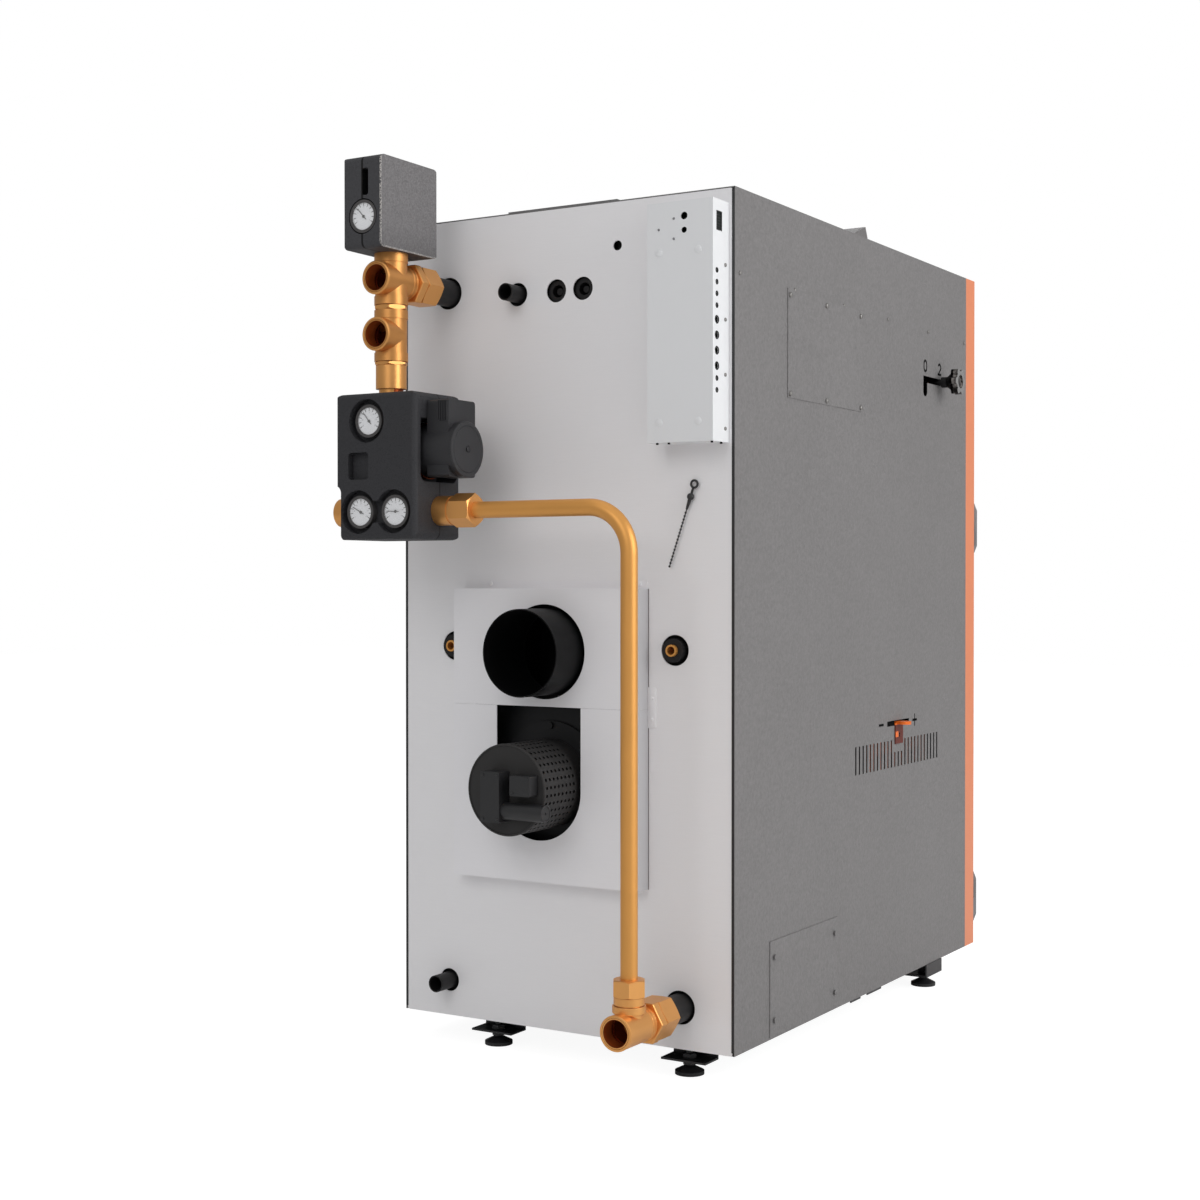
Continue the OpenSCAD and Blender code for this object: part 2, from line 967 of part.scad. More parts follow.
module flue_cover_lower() {
  color([0.82, 0.82, 0.83]) place() cover_half(cover_z0, cover_split, -over, cover_t);
}

// Flue box behind the rear sheet and the spigot on it
box_y1 = -box_front;
box_z1 = flue_z + flue_d / 2 + box_top_over;

module flue_box() {
  color([0.13, 0.13, 0.14]) place() difference() {
    block([box_x0, y_rear, box_z0], [box_x0 + box_w, box_y1, box_z1]);
    block([box_x0 + box_wall, y_rear + box_wall, box_z0 + box_wall],
      [box_x0 + box_w - box_wall, box_y1 - box_wall, box_z1 - box_wall]);
    bar_y(box_y1 - box_wall - over, over, flue_x, flue_z, flue_d / 2 - flue_wall);
    bar_y(box_y1 - box_wall - over, over, fan_x, fan_z, fan_mouth_r);
    block([-exhaust_w / 2, y_rear - over, exhaust_z0],
      [exhaust_w / 2, y_rear + box_wall + over, exhaust_z0 + exhaust_h]);
  }
}

module flue_spigot() {
  color([0.1, 0.1, 0.105]) place() difference() {
    union() {
      bar_y(box_y1, flue_out, flue_x, flue_z, flue_d / 2);
      bar_y(box_y1, box_y1 + spigot_rim_t, flue_x, flue_z, flue_d / 2 + spigot_rim);
    }
    bar_y(box_y1 - over, flue_out + over, flue_x, flue_z, flue_d / 2 - flue_wall);
  }
}

// Fan: plate, guard, motor, boxes and wheel
plate_y1 = box_y1 + fan_plate_t;

module fan_plate() {
  color([0.15, 0.15, 0.16]) place() {
    difference() {
      bar_y(box_y1, plate_y1, fan_x, fan_z, fan_plate_r);
      bar_y(box_y1 - over, over, fan_x, fan_z, shaft_r + shaft_play);
    }
    for (i = [0 : fan_bolts - 1]) translate([fan_x, 0, fan_z]) rotate([0, 360 * i / fan_bolts, 0])
      bar_y(plate_y1 - flue_wall, plate_y1 + fan_bolt_t, 0, (fan_plate_r + fan_mouth_r) / 2, fan_bolt_head_r);
  }
}

module fan_guard() {
  last = guard_out - guard_t - guard_row_end;
  r = guard_d / 2;
  color([0.2, 0.2, 0.21]) place() difference() {
    bar_y(plate_y1, guard_out, fan_x, fan_z, guard_d / 2);
    bar_y(plate_y1 - over, guard_out - guard_t, fan_x, fan_z, guard_d / 2 - guard_t);
    translate([fan_x, 0, fan_z])
      for (i = [0 : guard_cols - 1], j = [0 : guard_rows - 1])
        translate([0, last - j * guard_pitch, 0]) rotate([0, 360 * (i + 0.5) / guard_cols, 0])
          bar_z(r - 2 * guard_t, r + guard_t, 0, 0, guard_hole_d / 2);
  }
}

module fan_motor() {
  color([0.35, 0.35, 0.36]) place() difference() {
    union() {
      bar_y(plate_y1, plate_y1 + motor_len, fan_x, fan_z, motor_r);
      bar_y(plate_y1 + motor_len, plate_y1 + motor_len + motor_cap_len, fan_x, fan_z, motor_cap_r);
    }
    bar_y(plate_y1 - over, plate_y1 + shaft_len, fan_x, fan_z, shaft_r + run_fit);
  }
}

module fan_terminal_box() {
  color([0.24, 0.24, 0.25]) place() translate([fan_x, guard_out, fan_z]) {
    sheet_xz(0, junction_d)
      rounded([junction_x0, junction_z0], [junction_x0 + junction_w, junction_z0 + junction_h], square_r / 3);
    sheet_xz(0, switch_d)
      rounded([switch_x0, switch_z0], [switch_x0 + switch_w, switch_z0 + switch_h], square_r / 3);
    bar_x(cap_x, junction_x0, cap_d / 2, cap_z, cap_d / 2);
  }
}

module fan_impeller() {
  back = box_y1 - wheel_gap;
  color([0.55, 0.55, 0.57]) place() translate([fan_x, 0, fan_z]) {
    bar_y(back - wheel_t, back, 0, 0, wheel_d / 2);
    bar_y(back - blade_h / 2, plate_y1 + shaft_len - rotor_gap, 0, 0, shaft_r);
    bar_y(back - blade_h / 2, back, 0, 0, hub_r);
    difference() {
      bar_y(back - wheel_t - blade_h - wheel_t, back - wheel_t - blade_h, 0, 0, wheel_d / 2);
      bar_y(back - 2 * wheel_t - blade_h - over, back, 0, 0, wheel_eye_r);
    }
    sheet_xz(back - wheel_t - blade_h, back - wheel_t) for (i = [0 : blade_count - 1])
      rotate(360 * i / blade_count) intersection() {
        translate([(wheel_d / 2 + blade_inner) / 2, -blade_r + blade_t2]) difference() {
          circle(blade_r);
          circle(blade_r - blade_t2);
          patch([-2 * blade_r, -2 * blade_r], [2 * blade_r, 0]);
        }
        difference() {
          circle(wheel_d / 2 - fit);
          circle(blade_inner);
        }
      }
  }
}

// Electrical box on the rear sheet, with its board
side_ports = [
  for (i = [0 : 3]) [small_first + i * small_pitch, small_port_r],
  for (i = [0 : 3]) [large_first + i * large_pitch, large_port_r],
  for (i = [0 : 1]) [small_last + i * small_pitch, small_port_r]
];
socket_z0 = ebox_z1 - socket_drop - socket_h;

module electrical_box() {
  z0 = ebox_z1 - ebox_h;
  x1 = ebox_x0 + ebox_w;
  color([0.93, 0.93, 0.92]) place() difference() {
    block([ebox_x0, 0, z0], [x1, ebox_d, ebox_z1]);
    block([ebox_x0 + ebox_t, -over, z0 + ebox_t], [x1 - ebox_t, ebox_d - ebox_t, ebox_z1 - ebox_t]);
    for (d = [[face_hole_a, face_ra], [face_hole_b, face_rb]])
      bar_y(ebox_d - over, ebox_d + over, ebox_x0 + face_hole_x, ebox_z1 - d.x, d.y);
    for (d = side_ports) bar_x(ebox_x0 - over, ebox_x0 + over, ebox_d - port_back, ebox_z1 - d.x, d.y);
    block([ebox_x0 - over, socket_y0, socket_z0],
      [ebox_x0 + over, socket_y0 + socket_d, socket_z0 + socket_h]);
  }
}

module control_board() {
  x0 = ebox_x0 + board_in;
  x1 = ebox_x0 + ebox_w - board_in;
  z0 = ebox_z1 - ebox_h + board_rise;
  z1 = ebox_z1 - board_in;
  color([0.1, 0.3, 0.2]) place() {
    block([x0, board_gap, z0], [x1, board_gap + board_t, z1]);
    for (x = [x0 + 2 * post_r, x1 - 2 * post_r], z = [z0 + 2 * post_r, z1 - 2 * post_r])
      bar_y(0, board_gap, x, z, post_r);
    block([ebox_x0 + ebox_t, board_gap, socket_z0 + fit],
      [ebox_x0 + socket_d, socket_y0 + socket_d - fit, socket_z0 + socket_h - fit]);
    for (i = [0 : 3])
      block([x0 + board_in, board_gap, ebox_z1 - large_first - i * large_pitch - large_port_r],
        [x0 + board_in + socket_d, socket_y0, ebox_z1 - large_first - i * large_pitch + large_port_r]);
  }
}

// Moulded bead tie hanging from its peg in the rear sheet
module bead_tie() {
  color([0.06, 0.06, 0.07]) place() {
    translate([tie_x, tie_ball_r, tie_z]) rotate([0, -tie_angle, 0]) {
      sphere(tie_ball_r);
      translate([0, 0, tie_eye_rise]) rotate([90, 0, 0]) rotate_extrude() translate([tie_eye_r, 0])
        circle(tie_eye_t);
      translate([0, 0, 0]) cylinder(h = tie_eye_rise - tie_eye_r, r = tie_eye_t);
      translate([0, 0, -taper_len]) cylinder(h = taper_len, r1 = tie_bead_r, r2 = tie_taper_r);
      translate([0, 0, -taper_len - tie_beads * bead_pitch])
        cylinder(h = tie_beads * bead_pitch + tie_bead_r, r = tie_core_r);
      for (i = [1 : tie_beads]) translate([0, 0, -taper_len - i * bead_pitch]) sphere(tie_bead_r);
    }
    bar_y(-tie_peg_len, tie_ball_r, tie_x, tie_z, tie_peg_r);
  }
}

// Two service plates on the lever side, the lower one hung on studs
module service_plates() {
  upper_z1 = case_h - top_hatch_top;
  color([0.48, 0.48, 0.49]) place() {
    block([-half_w - hatch_t, top_hatch_y, upper_z1 - top_hatch_h],
      [-half_w, top_hatch_y + top_hatch_len, upper_z1]);
    block([-half_w - hatch_t, low_hatch_y, low_hatch_z],
      [-half_w, low_hatch_y + low_hatch_len, low_hatch_z + low_hatch_h]);
    for (y = [low_hatch_y + hook_in, low_hatch_y + low_hatch_len - hook_in],
      z = [low_hatch_z + hook_z_in, low_hatch_z + low_hatch_h - hook_z_in]) {
      bar_x(-half_w - hatch_t - hook_out, -half_w - hatch_t, y, z, hook_r);
      bar_x(-half_w - hatch_t - hook_out, -half_w - hatch_t - hook_out + hook_head_t, y, z, hook_head_r);
    }
  }
}

// Painted frame round the front
module front_frame() {
  color([0.9, 0.5, 0.33]) place() difference() {
    block([-half_w, front_y, 0], [half_w, side_y, case_h]);
    block([-skin_x, front_y + sheet_t, sheet_t], [skin_x, side_y - sheet_t, case_h - sheet_t]);
    block([-half_w + frame_face, front_y - over, frame_face],
      [half_w - frame_face, front_y + 2 * sheet_t, door_h]);
    block([-half_w + frame_face, front_y - over, door_h + rung_h],
      [half_w - frame_face, front_y + 2 * sheet_t, case_h - frame_face]);
    block([-half_w + flange_w, side_y - 2 * sheet_t, flange_w],
      [half_w - flange_w, side_y + over, case_h - flange_w]);
  }
}

// Panel over the door
module upper_front_panel() {
  x1 = half_w - panel_in;
  z0 = door_h + panel_gap - door_top_gap;
  z1 = case_h - panel_top_in;
  color([0.25, 0.25, 0.26]) place() difference() {
    block([-x1, front_y - door_t, z0], [x1, front_y, z1]);
    block([-x1 + door_wall, front_y - door_t + door_wall, z0 + door_wall],
      [x1 - door_wall, front_y + over, z1 - door_wall]);
  }
}

// Hinges: the lower half of each, with its pin, stands on the frame
hinge_x = -(half_w - hinge_in);
hinge_y = front_y - hinge_out;

module door_fittings() {
  color([0.45, 0.45, 0.46]) place() for (z = [hinge_low, hinge_high]) {
    translate([hinge_x, hinge_y, z]) rotate_extrude() polygon([
      [0, 0], [hinge_tip_r, 0], [hinge_r, hinge_tip], [hinge_r, split_z - fit],
      [hinge_pin_r, split_z - fit], [hinge_pin_r, split_z + pin_len], [0, split_z + pin_len]
    ]);
    block([hinge_x - hinge_leaf, hinge_y, z + hinge_tip],
      [hinge_x + hinge_leaf, front_y, z + split_z - fit]);
  }
}

door_y1 = front_y - door_gap;
door_y0 = door_y1 - door_t;
door_x = half_w - panel_in;

module front_door() {
  z1 = door_h - door_top_gap;
  hx = half_w - handle_in;
  color([0.3, 0.3, 0.31]) place() {
    difference() {
      union() {
        difference() {
          block([-door_x, door_y0, door_z0], [door_x, door_y1, z1]);
          block([-door_x + door_wall, door_y0 + door_wall, door_z0 + door_wall],
            [door_x - door_wall, door_y1 + over, z1 - door_wall]);
        }
        bar_y(door_y0, door_y1, hx, handle_z, boss_r);
      }
      bar_y(door_y0 - over, door_y1 + over, hx, handle_z, handle_shaft_r + run_fit);
    }
    for (z = [hinge_low, hinge_high]) difference() {
      union() {
        translate([hinge_x, hinge_y, z]) rotate_extrude() polygon([
          [0, split_z], [hinge_r, split_z], [hinge_r, hinge_len - hinge_tip],
          [hinge_tip_r, hinge_len], [0, hinge_len]
        ]);
        block([hinge_x, hinge_y - hinge_leaf / 2, z + split_z],
          [-door_x + door_wall, hinge_y + hinge_leaf, z + hinge_len - hinge_tip]);
      }
      bar_z(z + split_z - over, z + split_z + pin_len + pin_end_gap, hinge_x, hinge_y,
        hinge_pin_r + run_fit);
    }
  }
}

liner_x = half_w - liner_in;
liner_y1 = y_front - seal_t;
liner_z1 = door_h - liner_top_in;

module door_liner() {
  color([0.75, 0.72, 0.66]) place()
    block([-liner_x, door_y0 + door_wall, liner_z0], [liner_x, liner_y1, liner_z1]);
}

module seal_ring(w, z0, z1) {
  difference() {
    block([-w / 2 - seal_over - seal_w, liner_y1, z0 - seal_over - seal_w],
      [w / 2 + seal_over + seal_w, y_front - fit, z1 + seal_over + seal_w]);
    block([-w / 2 - seal_over, liner_y1 - over, z0 - seal_over],
      [w / 2 + seal_over, y_front + over, z1 + seal_over]);
  }
}

module door_seal() {
  color([0.85, 0.85, 0.82]) place() {
    seal_ring(fill_w, fill_z, fill_z + fill_h);
    seal_ring(ash_w, ash_z, ash_z + ash_h);
  }
}

// Door handle, drawn unlatched: grip level, cam hanging down
module door_handle() {
  hx = half_w - handle_in;
  tip_y = front_y + cam_back + cam_t;
  color([0.12, 0.12, 0.13]) place() translate([hx, 0, handle_z]) {
    bar_y(door_y0 - fit - boss_t, door_y0 - fit, 0, 0, boss_r);
    bar_y(door_y0 - fit, tip_y, 0, 0, handle_shaft_r);
    bar_y(door_y0 - boss_t - grip_off, door_y0 - fit, 0, 0, grip_r);
    bar_x(-handle_len, 0, door_y0 - boss_t - grip_off, 0, grip_r);
    block([-cam_w / 2, tip_y - cam_t, -cam_len], [cam_w / 2, tip_y, cam_w / 2]);
  }
}

// Console on the top sheet
module console_profile(inset) {
  a = [console_y, case_h];
  b = [console_y + console_face, case_h + console_h];
  c = [console_y + console_face + console_back, case_h];
  polygon([[a.x + 1.6 * inset, a.y - (inset > 0 ? over : 0)], [b.x + inset / 3, b.y - 1.9 * inset],
    [c.x - 4.2 * inset, c.y - (inset > 0 ? over : 0)]]);
}

module on_face() {
  translate([0, console_y, case_h]) rotate([face_angle, 0, 0]) children();
}

module console_housing() {
  color([0.33, 0.33, 0.34]) place() difference() {
    union() {
      difference() {
        sheet_yz(-console_w / 2, console_w / 2) console_profile(0);
        sheet_yz(-console_w / 2 + console_wall, console_w / 2 - console_wall) console_profile(console_wall);
      }
      on_face() block([switch_x - cradle_w / 2, rocker_z - cradle_len / 2, -3 * disp_t],
        [switch_x + cradle_w / 2, rocker_z + cradle_len / 2, -disp_t / 2]);
    }
    on_face() block([disp_x - disp_w / 2, disp_rise, -2 * disp_t],
      [disp_x + disp_w / 2, disp_rise + disp_h, over]);
    on_face() block([switch_x - rocker_w / 2 - fit, rocker_z - rocker_len / 2 - fit, -3 * disp_t],
      [switch_x + rocker_w / 2 + fit, rocker_z + rocker_len / 2 + fit, over]);
    on_face() bar_x(switch_x - rocker_w / 2 - 2 * fit - axle_r,
      switch_x + rocker_w / 2 + 2 * fit + axle_r,
      rocker_z, -rocker_sink, axle_r + run_fit);
  }
}

module console_display() {
  color([0.05, 0.05, 0.06]) place() on_face()
    block([disp_x - disp_w / 2 + fit, disp_rise + fit, -disp_t],
      [disp_x + disp_w / 2 - fit, disp_rise + disp_h - fit, disp_proud]);
}

module main_switch() {
  color([0.1, 0.1, 0.1]) place() on_face() translate([switch_x, rocker_z, -rocker_sink]) {
    rotate([rocker_tilt, 0, 0]) intersection() {
      bar_x(-rocker_w / 2, rocker_w / 2, 0, 0, rocker_len / 2 - 1.5 * fit);
      block([-rocker_w, -rocker_len, -axle_r * 2], [rocker_w, rocker_len, rocker_sink + disp_proud]);
    }
    bar_x(-rocker_w / 2 - fit - axle_r, rocker_w / 2 + fit + axle_r, 0, 0, axle_r);
  }
}

// Welded vessel: outer walls, fire box and dividing wall
module water_jacket() {
  ix = vessel_x - plate_t;
  fx = fire_x + plate_t;
  color([0.22, 0.25, 0.3]) place() {
    difference() {
      union() {
        difference() {
          block([-vessel_x, y_front, z_low], [vessel_x, y_rear, z_top]);
          block([-ix, y_front + plate_t, z_low + plate_t], [ix, y_split, z_top - plate_t]);
          block([-ix, y_split + plate_t, z_low + plate_t], [ix, y_rear - plate_t, z_top - plate_t]);
        }
        block([-fx, y_front, fire_low - plate_t], [fx, y_split, fire_z1 + plate_t]);
        block([flap_w / 2 + boss_w / 2, y_split, flap_z - boss_h / 2],
          [flap_w / 2 + 1.5 * boss_w, flap_y + boss_h / 2, flap_z + boss_h / 2]);
      }
      block([-fire_x, y_front + plate_t, fire_low], [fire_x, y_split, fire_z1]);
      block([-fill_w / 2, y_front - over, fill_z], [fill_w / 2, y_front + plate_t + over, fill_z + fill_h]);
      block([-ash_w / 2, y_front - over, ash_z], [ash_w / 2, y_front + plate_t + over, ash_z + ash_h]);
      block([-pass_w / 2, y_split - over, pass_z], [pass_w / 2, y_split + plate_t + over, pass_z + pass_h]);
      block([-flap_hole_w / 2, y_split - over, flap_z - flap_hole_drop - flap_hole_h],
        [flap_hole_w / 2, y_split + plate_t + over, flap_z - flap_hole_drop]);
      block([-exhaust_w / 2, y_rear - plate_t - over, exhaust_z0],
        [exhaust_w / 2, y_rear + over, exhaust_z0 + exhaust_h]);
      block([-lid_hole_x + lid_rim, lid_hole_y1 - lid_hole_d, z_top - plate_t - over],
        [lid_hole_x - lid_rim, lid_hole_y1, z_top + over]);
      for (s = [-1, 1], z = [fill_z - block_h, fill_z + fill_h])
        bar_y(y_split - over, y_split + plate_t + over, s * (ix + fx) / 2, z, water_hole_r);
      bar_x(-vessel_x - over, flap_w / 2 + 2 * boss_w, flap_y, flap_z, flap_shaft_r + run_fit);
      for (p = ports) bar_y(y_rear - plate_t - over, y_rear + over, p[0], p[1], p[3]);
    }
    for (d = lug_places) bar_guide(rod_y + d);
  }
}

// Guide for the draw bar on the vessel's side
bar_x1 = -vessel_x - crank_off - crank_t - bar_gap;
bar_x0 = bar_x1 - bar_t;

module bar_guide(y) {
  difference() {
    block([bar_x0 - lug_wall, y, rod_z - bar_h / 2 - lug_wall],
      [-vessel_x, y + lug_t, rod_z + bar_h / 2 + lug_wall]);
    block([bar_x0 - fit, y - over, rod_z - bar_h / 2 - fit],
      [bar_x1 + fit, y + lug_t + over, rod_z + bar_h / 2 + fit]);
  }
}

module fuel_chamber_liner() {
  z0 = block_z + block_h;
  z1 = fire_z1 - liner_top_gap;
  x1 = fire_x - liner_play;
  y0 = y_front + plate_t + liner_play;
  y1 = y_split - liner_play;
  color([0.28, 0.22, 0.2]) place() difference() {
    block([-x1, y0, z0], [x1, y1, z1]);
    block([-x1 + liner_t, y0 - over, z0 - over], [x1 - liner_t, y1 - liner_t, z1 + over]);
  }
}

module nozzle_block() {
  x1 = fire_x - block_play;
  y0 = y_front + plate_t + block_play;
  y1 = y_split - block_play;
  color([0.8, 0.76, 0.68]) place() difference() {
    block([-x1, y0, block_z], [x1, y1, block_z + block_h]);
    block([-nozzle_w / 2, y0 + nozzle_end, block_z - over],
      [nozzle_w / 2, y0 + nozzle_end + nozzle_len, block_z + block_h + over]);
  }
}

module combustion_chamber() {
  x1 = fire_x - block_play;
  y0 = y_front + plate_t + block_play;
  y1 = y_split - block_play;
  color([0.78, 0.74, 0.66]) place() difference() {
    block([-x1, y0, fire_low], [x1, y1, block_z]);
    block([-x1 + trough_wall, y0 - over, fire_low + trough_floor],
      [x1 - trough_wall, y1 - trough_wall, block_z + over]);
    block([-x1 + trough_wall, y1 - trough_wall - over, fire_low + trough_floor + block_play],
      [x1 - trough_wall, y1 + over, pass_z + pass_h]);
  }
}

// Smoke tubes between two tube plates, with a strip in each
tube_places = [for (i = [0 : tubes_x - 1], j = [0 : tubes_y - 1])
  [(i - (tubes_x - 1) / 2) * tube_pitch, y_split + tube_first + j * tube_pitch]];

module heat_exchanger() {
  ix = vessel_x - plate_t;
  color([0.3, 0.3, 0.33]) place() difference() {
    union() {
      for (z = [sheet_low, sheet_high])
        block([-ix, y_split + plate_t, z], [ix, y_rear - plate_t, z + sheet_thick]);
      for (p = tube_places) bar_z(sheet_low, sheet_high + sheet_thick, p.x, p.y, tube_d / 2);
    }
    for (p = tube_places)
      bar_z(sheet_low - over, sheet_high + sheet_thick + over, p.x, p.y, tube_d / 2 - tube_wall);
  }
}

strip_t = 2;
strip_fins = 7;
strip_tip = 14;
fin_share = 0.62;

module turbulators() {
  r = tube_d / 2 - tube_wall;
  w = r * fin_share;
  len = sheet_high + sheet_thick - sheet_low;
  color([0.36, 0.33, 0.32]) place() for (p = tube_places) translate([p.x, p.y, sheet_low]) {
    block([-w, -strip_t / 2, 0], [w, strip_t / 2, len + strip_tip]);
    for (i = [1 : strip_fins]) translate([0, 0, i * len / (strip_fins + 1)]) rotate([0, 60 * pow(-1, i), 0])
      block([-strip_t / 2, -w, -w], [strip_t / 2, w, w]);
    bar_x(-r - strip_t, r + strip_t, 0, len + strip_t, strip_t);
  }
}

// Copper safety coil before the vessel's rear wall
module tube_run(len) {
  difference() {
    cylinder(h = len, r = coil_d / 2);
    translate([0, 0, -over]) cylinder(h = len + 2 * over, r = coil_bore / 2);
  }
}

module tube_bend(radius, angle) {
  rotate_extrude(angle = angle) translate([radius, 0]) difference() {
    circle(coil_d / 2);
    circle(coil_bore / 2);
  }
}

module safety_coil() {
  pitch = 2 * coil_x / (coil_legs - 1);
  y = y_rear - coil_back;
  top = sheet_high - coil_d - pitch / 2;
  low = coil_z + coil_low_in + pitch / 2;
  color([0.8, 0.5, 0.3]) place() {
    for (i = [0 : coil_legs - 1]) {
      outer = i == 0 || i == coil_legs - 1;
      z0 = outer ? coil_z + coil_bend : low;
      translate([-coil_x + i * pitch, y, z0]) tube_run(top - z0);
    }
    for (i = [0 : coil_legs - 2]) {
      up = i % 2 == 0;
      translate([-coil_x + (i + 0.5) * pitch, y, up ? top : low]) rotate([90, 0, 0])
        rotate([0, 0, up ? 0 : 180]) tube_bend(pitch / 2, 180);
    }
    for (s = [-1, 1]) {
      translate([s * coil_x, y + coil_bend, coil_z + coil_bend]) rotate([0, 90, 0]) rotate([0, 0, -90])
        tube_bend(coil_bend, 90);
      translate([s * coil_x, y + coil_bend, coil_z]) rotate([-90, 0, 0]) tube_run(sleeve_out - y - coil_bend);
    }
  }
}

// Mineral wool round the vessel
module insulation_wrap() {
  x0 = vessel_x + fit;
  x1 = skin_x - fit - wool_in;
  y0 = side_y + wool_end;
  y1 = y_rear - fit;
  z1 = case_h - wool_top;
  color([0.85, 0.8, 0.6]) place() {
    block([x0, y0, flange_w + fit], [x1, y1, z1]);
    difference() {
      block([-x1, y0, flange_w + fit], [-x0, y1, z1]);
      block([-x1 - over, rod_y - channel_front, rod_z - channel_low],
        [-x0 + over, flap_y + crank_r, rod_z - channel_low + channel_h]);
      block([-x1 - over, air_y - rail_len / 2 - over, shutter_z - channel_over],
        [-x1 + shutter_t + 4 * rail_t + rod_r, air_y + rail_len / 2 + over, air_z + channel_over]);
    }
    difference() {
      block([-vessel_x, y_front, z_top + fit], [vessel_x, y_rear, z1]);
      block([-lid_x + lid_rim, -lid_d + lid_rim, z_top - over], [lid_x - lid_rim, y_rear + over, z1 + over]);
    }
    difference() {
      block([-skin_x + flange_w, y_rear + fit, flange_w + fit],
        [skin_x - flange_w, -2 * sheet_t - wool_end, z1]);
      block([box_x0 - fit, y_rear - over, box_z0 - fit], [box_x0 + box_w + fit, over, box_z1 + fit]);
      block([-lid_x + lid_rim, y_rear - over, z_top - over], [lid_x - lid_rim, over, z1 + over]);
      for (p = ports) bar_y(y_rear - over, over, p[0], p[1], p[2] + fit);
    }
  }
}

// Kindling rod: stem through the slot, draw bar and slotted eye
module kindling_rod() {
  pin_y = flap_y - crank_r * sin(crank_angle);
  low = crank_r * (1 - cos(crank_angle));
  eye_r = crank_pin_r + eye_play;
  color([0.14, 0.14, 0.15]) place() {
    bar_x(-half_w - knob_out + knob_t, bar_x0, rod_y, rod_z, rod_r);
    bar_x(-half_w - collar_len - rod_r, -half_w - rod_r, rod_y, rod_z, collar_r);
    difference() {
      union() {
        block([bar_x0, rod_y - bar_h / 2, rod_z - bar_h / 2], [bar_x1, pin_y, rod_z + bar_h / 2]);
        block([bar_x0, pin_y - eye_r - eye_wall, rod_z - low - eye_r - eye_wall],
          [bar_x1, pin_y + eye_r + eye_wall, rod_z + eye_r + eye_wall]);
      }
      block([bar_x0 - over, pin_y - eye_r, rod_z - low - eye_r],
        [bar_x1 + over, pin_y + eye_r, rod_z + eye_r]);
    }
  }
}

module star_knob() {
  x0 = -half_w - knob_out;
  color([0.6, 0.6, 0.61]) place() difference() {
    sheet_yz(x0, x0 + knob_t) translate([rod_y, rod_z]) {
      circle(knob_d / 2 - knob_lobe_r);
      for (i = [0 : knob_lobes - 1]) rotate(360 * i / knob_lobes)
        translate([knob_d / 2 - knob_lobe_r, 0]) circle(knob_lobe_r);
    }
    bar_x(x0 - over, x0 + knob_rim, rod_y, rod_z, knob_d / 4);
  }
}

// Kindling flap: plate on a shaft, crank and pin outside the vessel
module kindling_flap() {
  color([0.3, 0.27, 0.26]) place() translate([0, flap_y, flap_z]) {
    bar_x(-vessel_x - crank_off, flap_w / 2 + 1.5 * boss_w, 0, 0, flap_shaft_r);
    block([-flap_w / 2, fit - flap_gap, -flap_len], [flap_w / 2, fit - flap_gap + flap_t, 0]);
    rotate([-crank_angle, 0, 0]) {
      block([-vessel_x - crank_off - crank_t, -crank_w / 2, -crank_r - crank_w / 2],
        [-vessel_x - crank_off, crank_w / 2, crank_w / 2]);
      bar_x(-vessel_x - crank_off - crank_pin_len, -vessel_x - crank_off, 0, -crank_r, crank_pin_r);
    }
  }
}

// Air lever: shutter inside, tongue through the slot, tag and finger blade outside
module air_lever() {
  inner = skin_x - fit;
  color([0.87, 0.38, 0.16]) place() translate([0, air_y, 0]) {
    difference() {
      block([-inner, -shutter_len / 2, shutter_z],
        [-inner + shutter_t, shutter_len / 2, shutter_z + shutter_h]);
      for (i = [0 : (vent_count - 1) / 2]) {
        k = 2 * (i - (vent_count - 1) / 4);
        if (abs(k * vent_pitch) < shutter_len / 2 - 2 * vent_w)
          block([-inner - over, k * vent_pitch - vent_w, vent_z],
            [over - inner, k * vent_pitch + vent_w, vent_z + short_vent_h]);
      }
    }
    block([-inner, -blade_w / 2, shutter_z + shutter_h],
      [-inner + shutter_t, blade_w / 2, air_z + blade_t / 2]);
    sheet_xy(air_z - blade_t / 2, air_z + blade_t / 2) {
      patch([-half_w - finger_out + finger_r, -blade_w / 2], [-inner + shutter_t, blade_w / 2]);
      intersection() {
        translate([-half_w - finger_out + finger_r, 0]) circle(finger_r);
        patch([-half_w - finger_out, -finger_r], [-half_w - finger_out + finger_r, finger_r]);
      }
    }
    sheet_yz(-half_w - fit - tag_t, -half_w - fit) difference() {
      patch([-tag_w / 2, air_z - tag_gap - tag_h], [tag_w / 2, air_z]);
      patch([-tag_window / 2, air_z - tag_gap - tag_h / 2 - tag_window / 2],
        [tag_window / 2, air_z - tag_gap - tag_h / 2 + tag_window / 2]);
    }
  }
}

// Black steel stubs that leave the vessel through the rear sheet
module water_stubs() {
  color([0.12, 0.12, 0.13]) place() {
    for (p = ports) difference() {
      bar_y(y_rear, p[5], p[0], p[1], p[2]);
      bar_y(y_rear - over, p[5] + over, p[0], p[1], p[3]);
    }
    for (x = sensor_x) {
      bar_y(y_rear, -2 * sensor_in, x, stub_z, sensor_pin_d / 2);
      bar_y(y_rear, y_rear + sensor_in, x, stub_z, (sensor_d + sensor_bore) / 4);
    }
  }
}

// Brass arms towards the wall and the room, and their bores
module arms(x, z) {
  neck_y = steel_y + nut_len + neck_len;
  bar_y(steel_y + nut_len, neck_y, x, z, ring_r);
  bar_y(neck_y, pipe_y + arm_out, x, z, brass_d / 2);
}

module arm_bores(x, z, y0) {
  bar_y(y0, pipe_y + arm_out, x, z, steel_bore / 2);
  bar_y(pipe_y + arm_out - arm_socket, pipe_y + arm_out + over, x, z, brass_bore / 2);
}

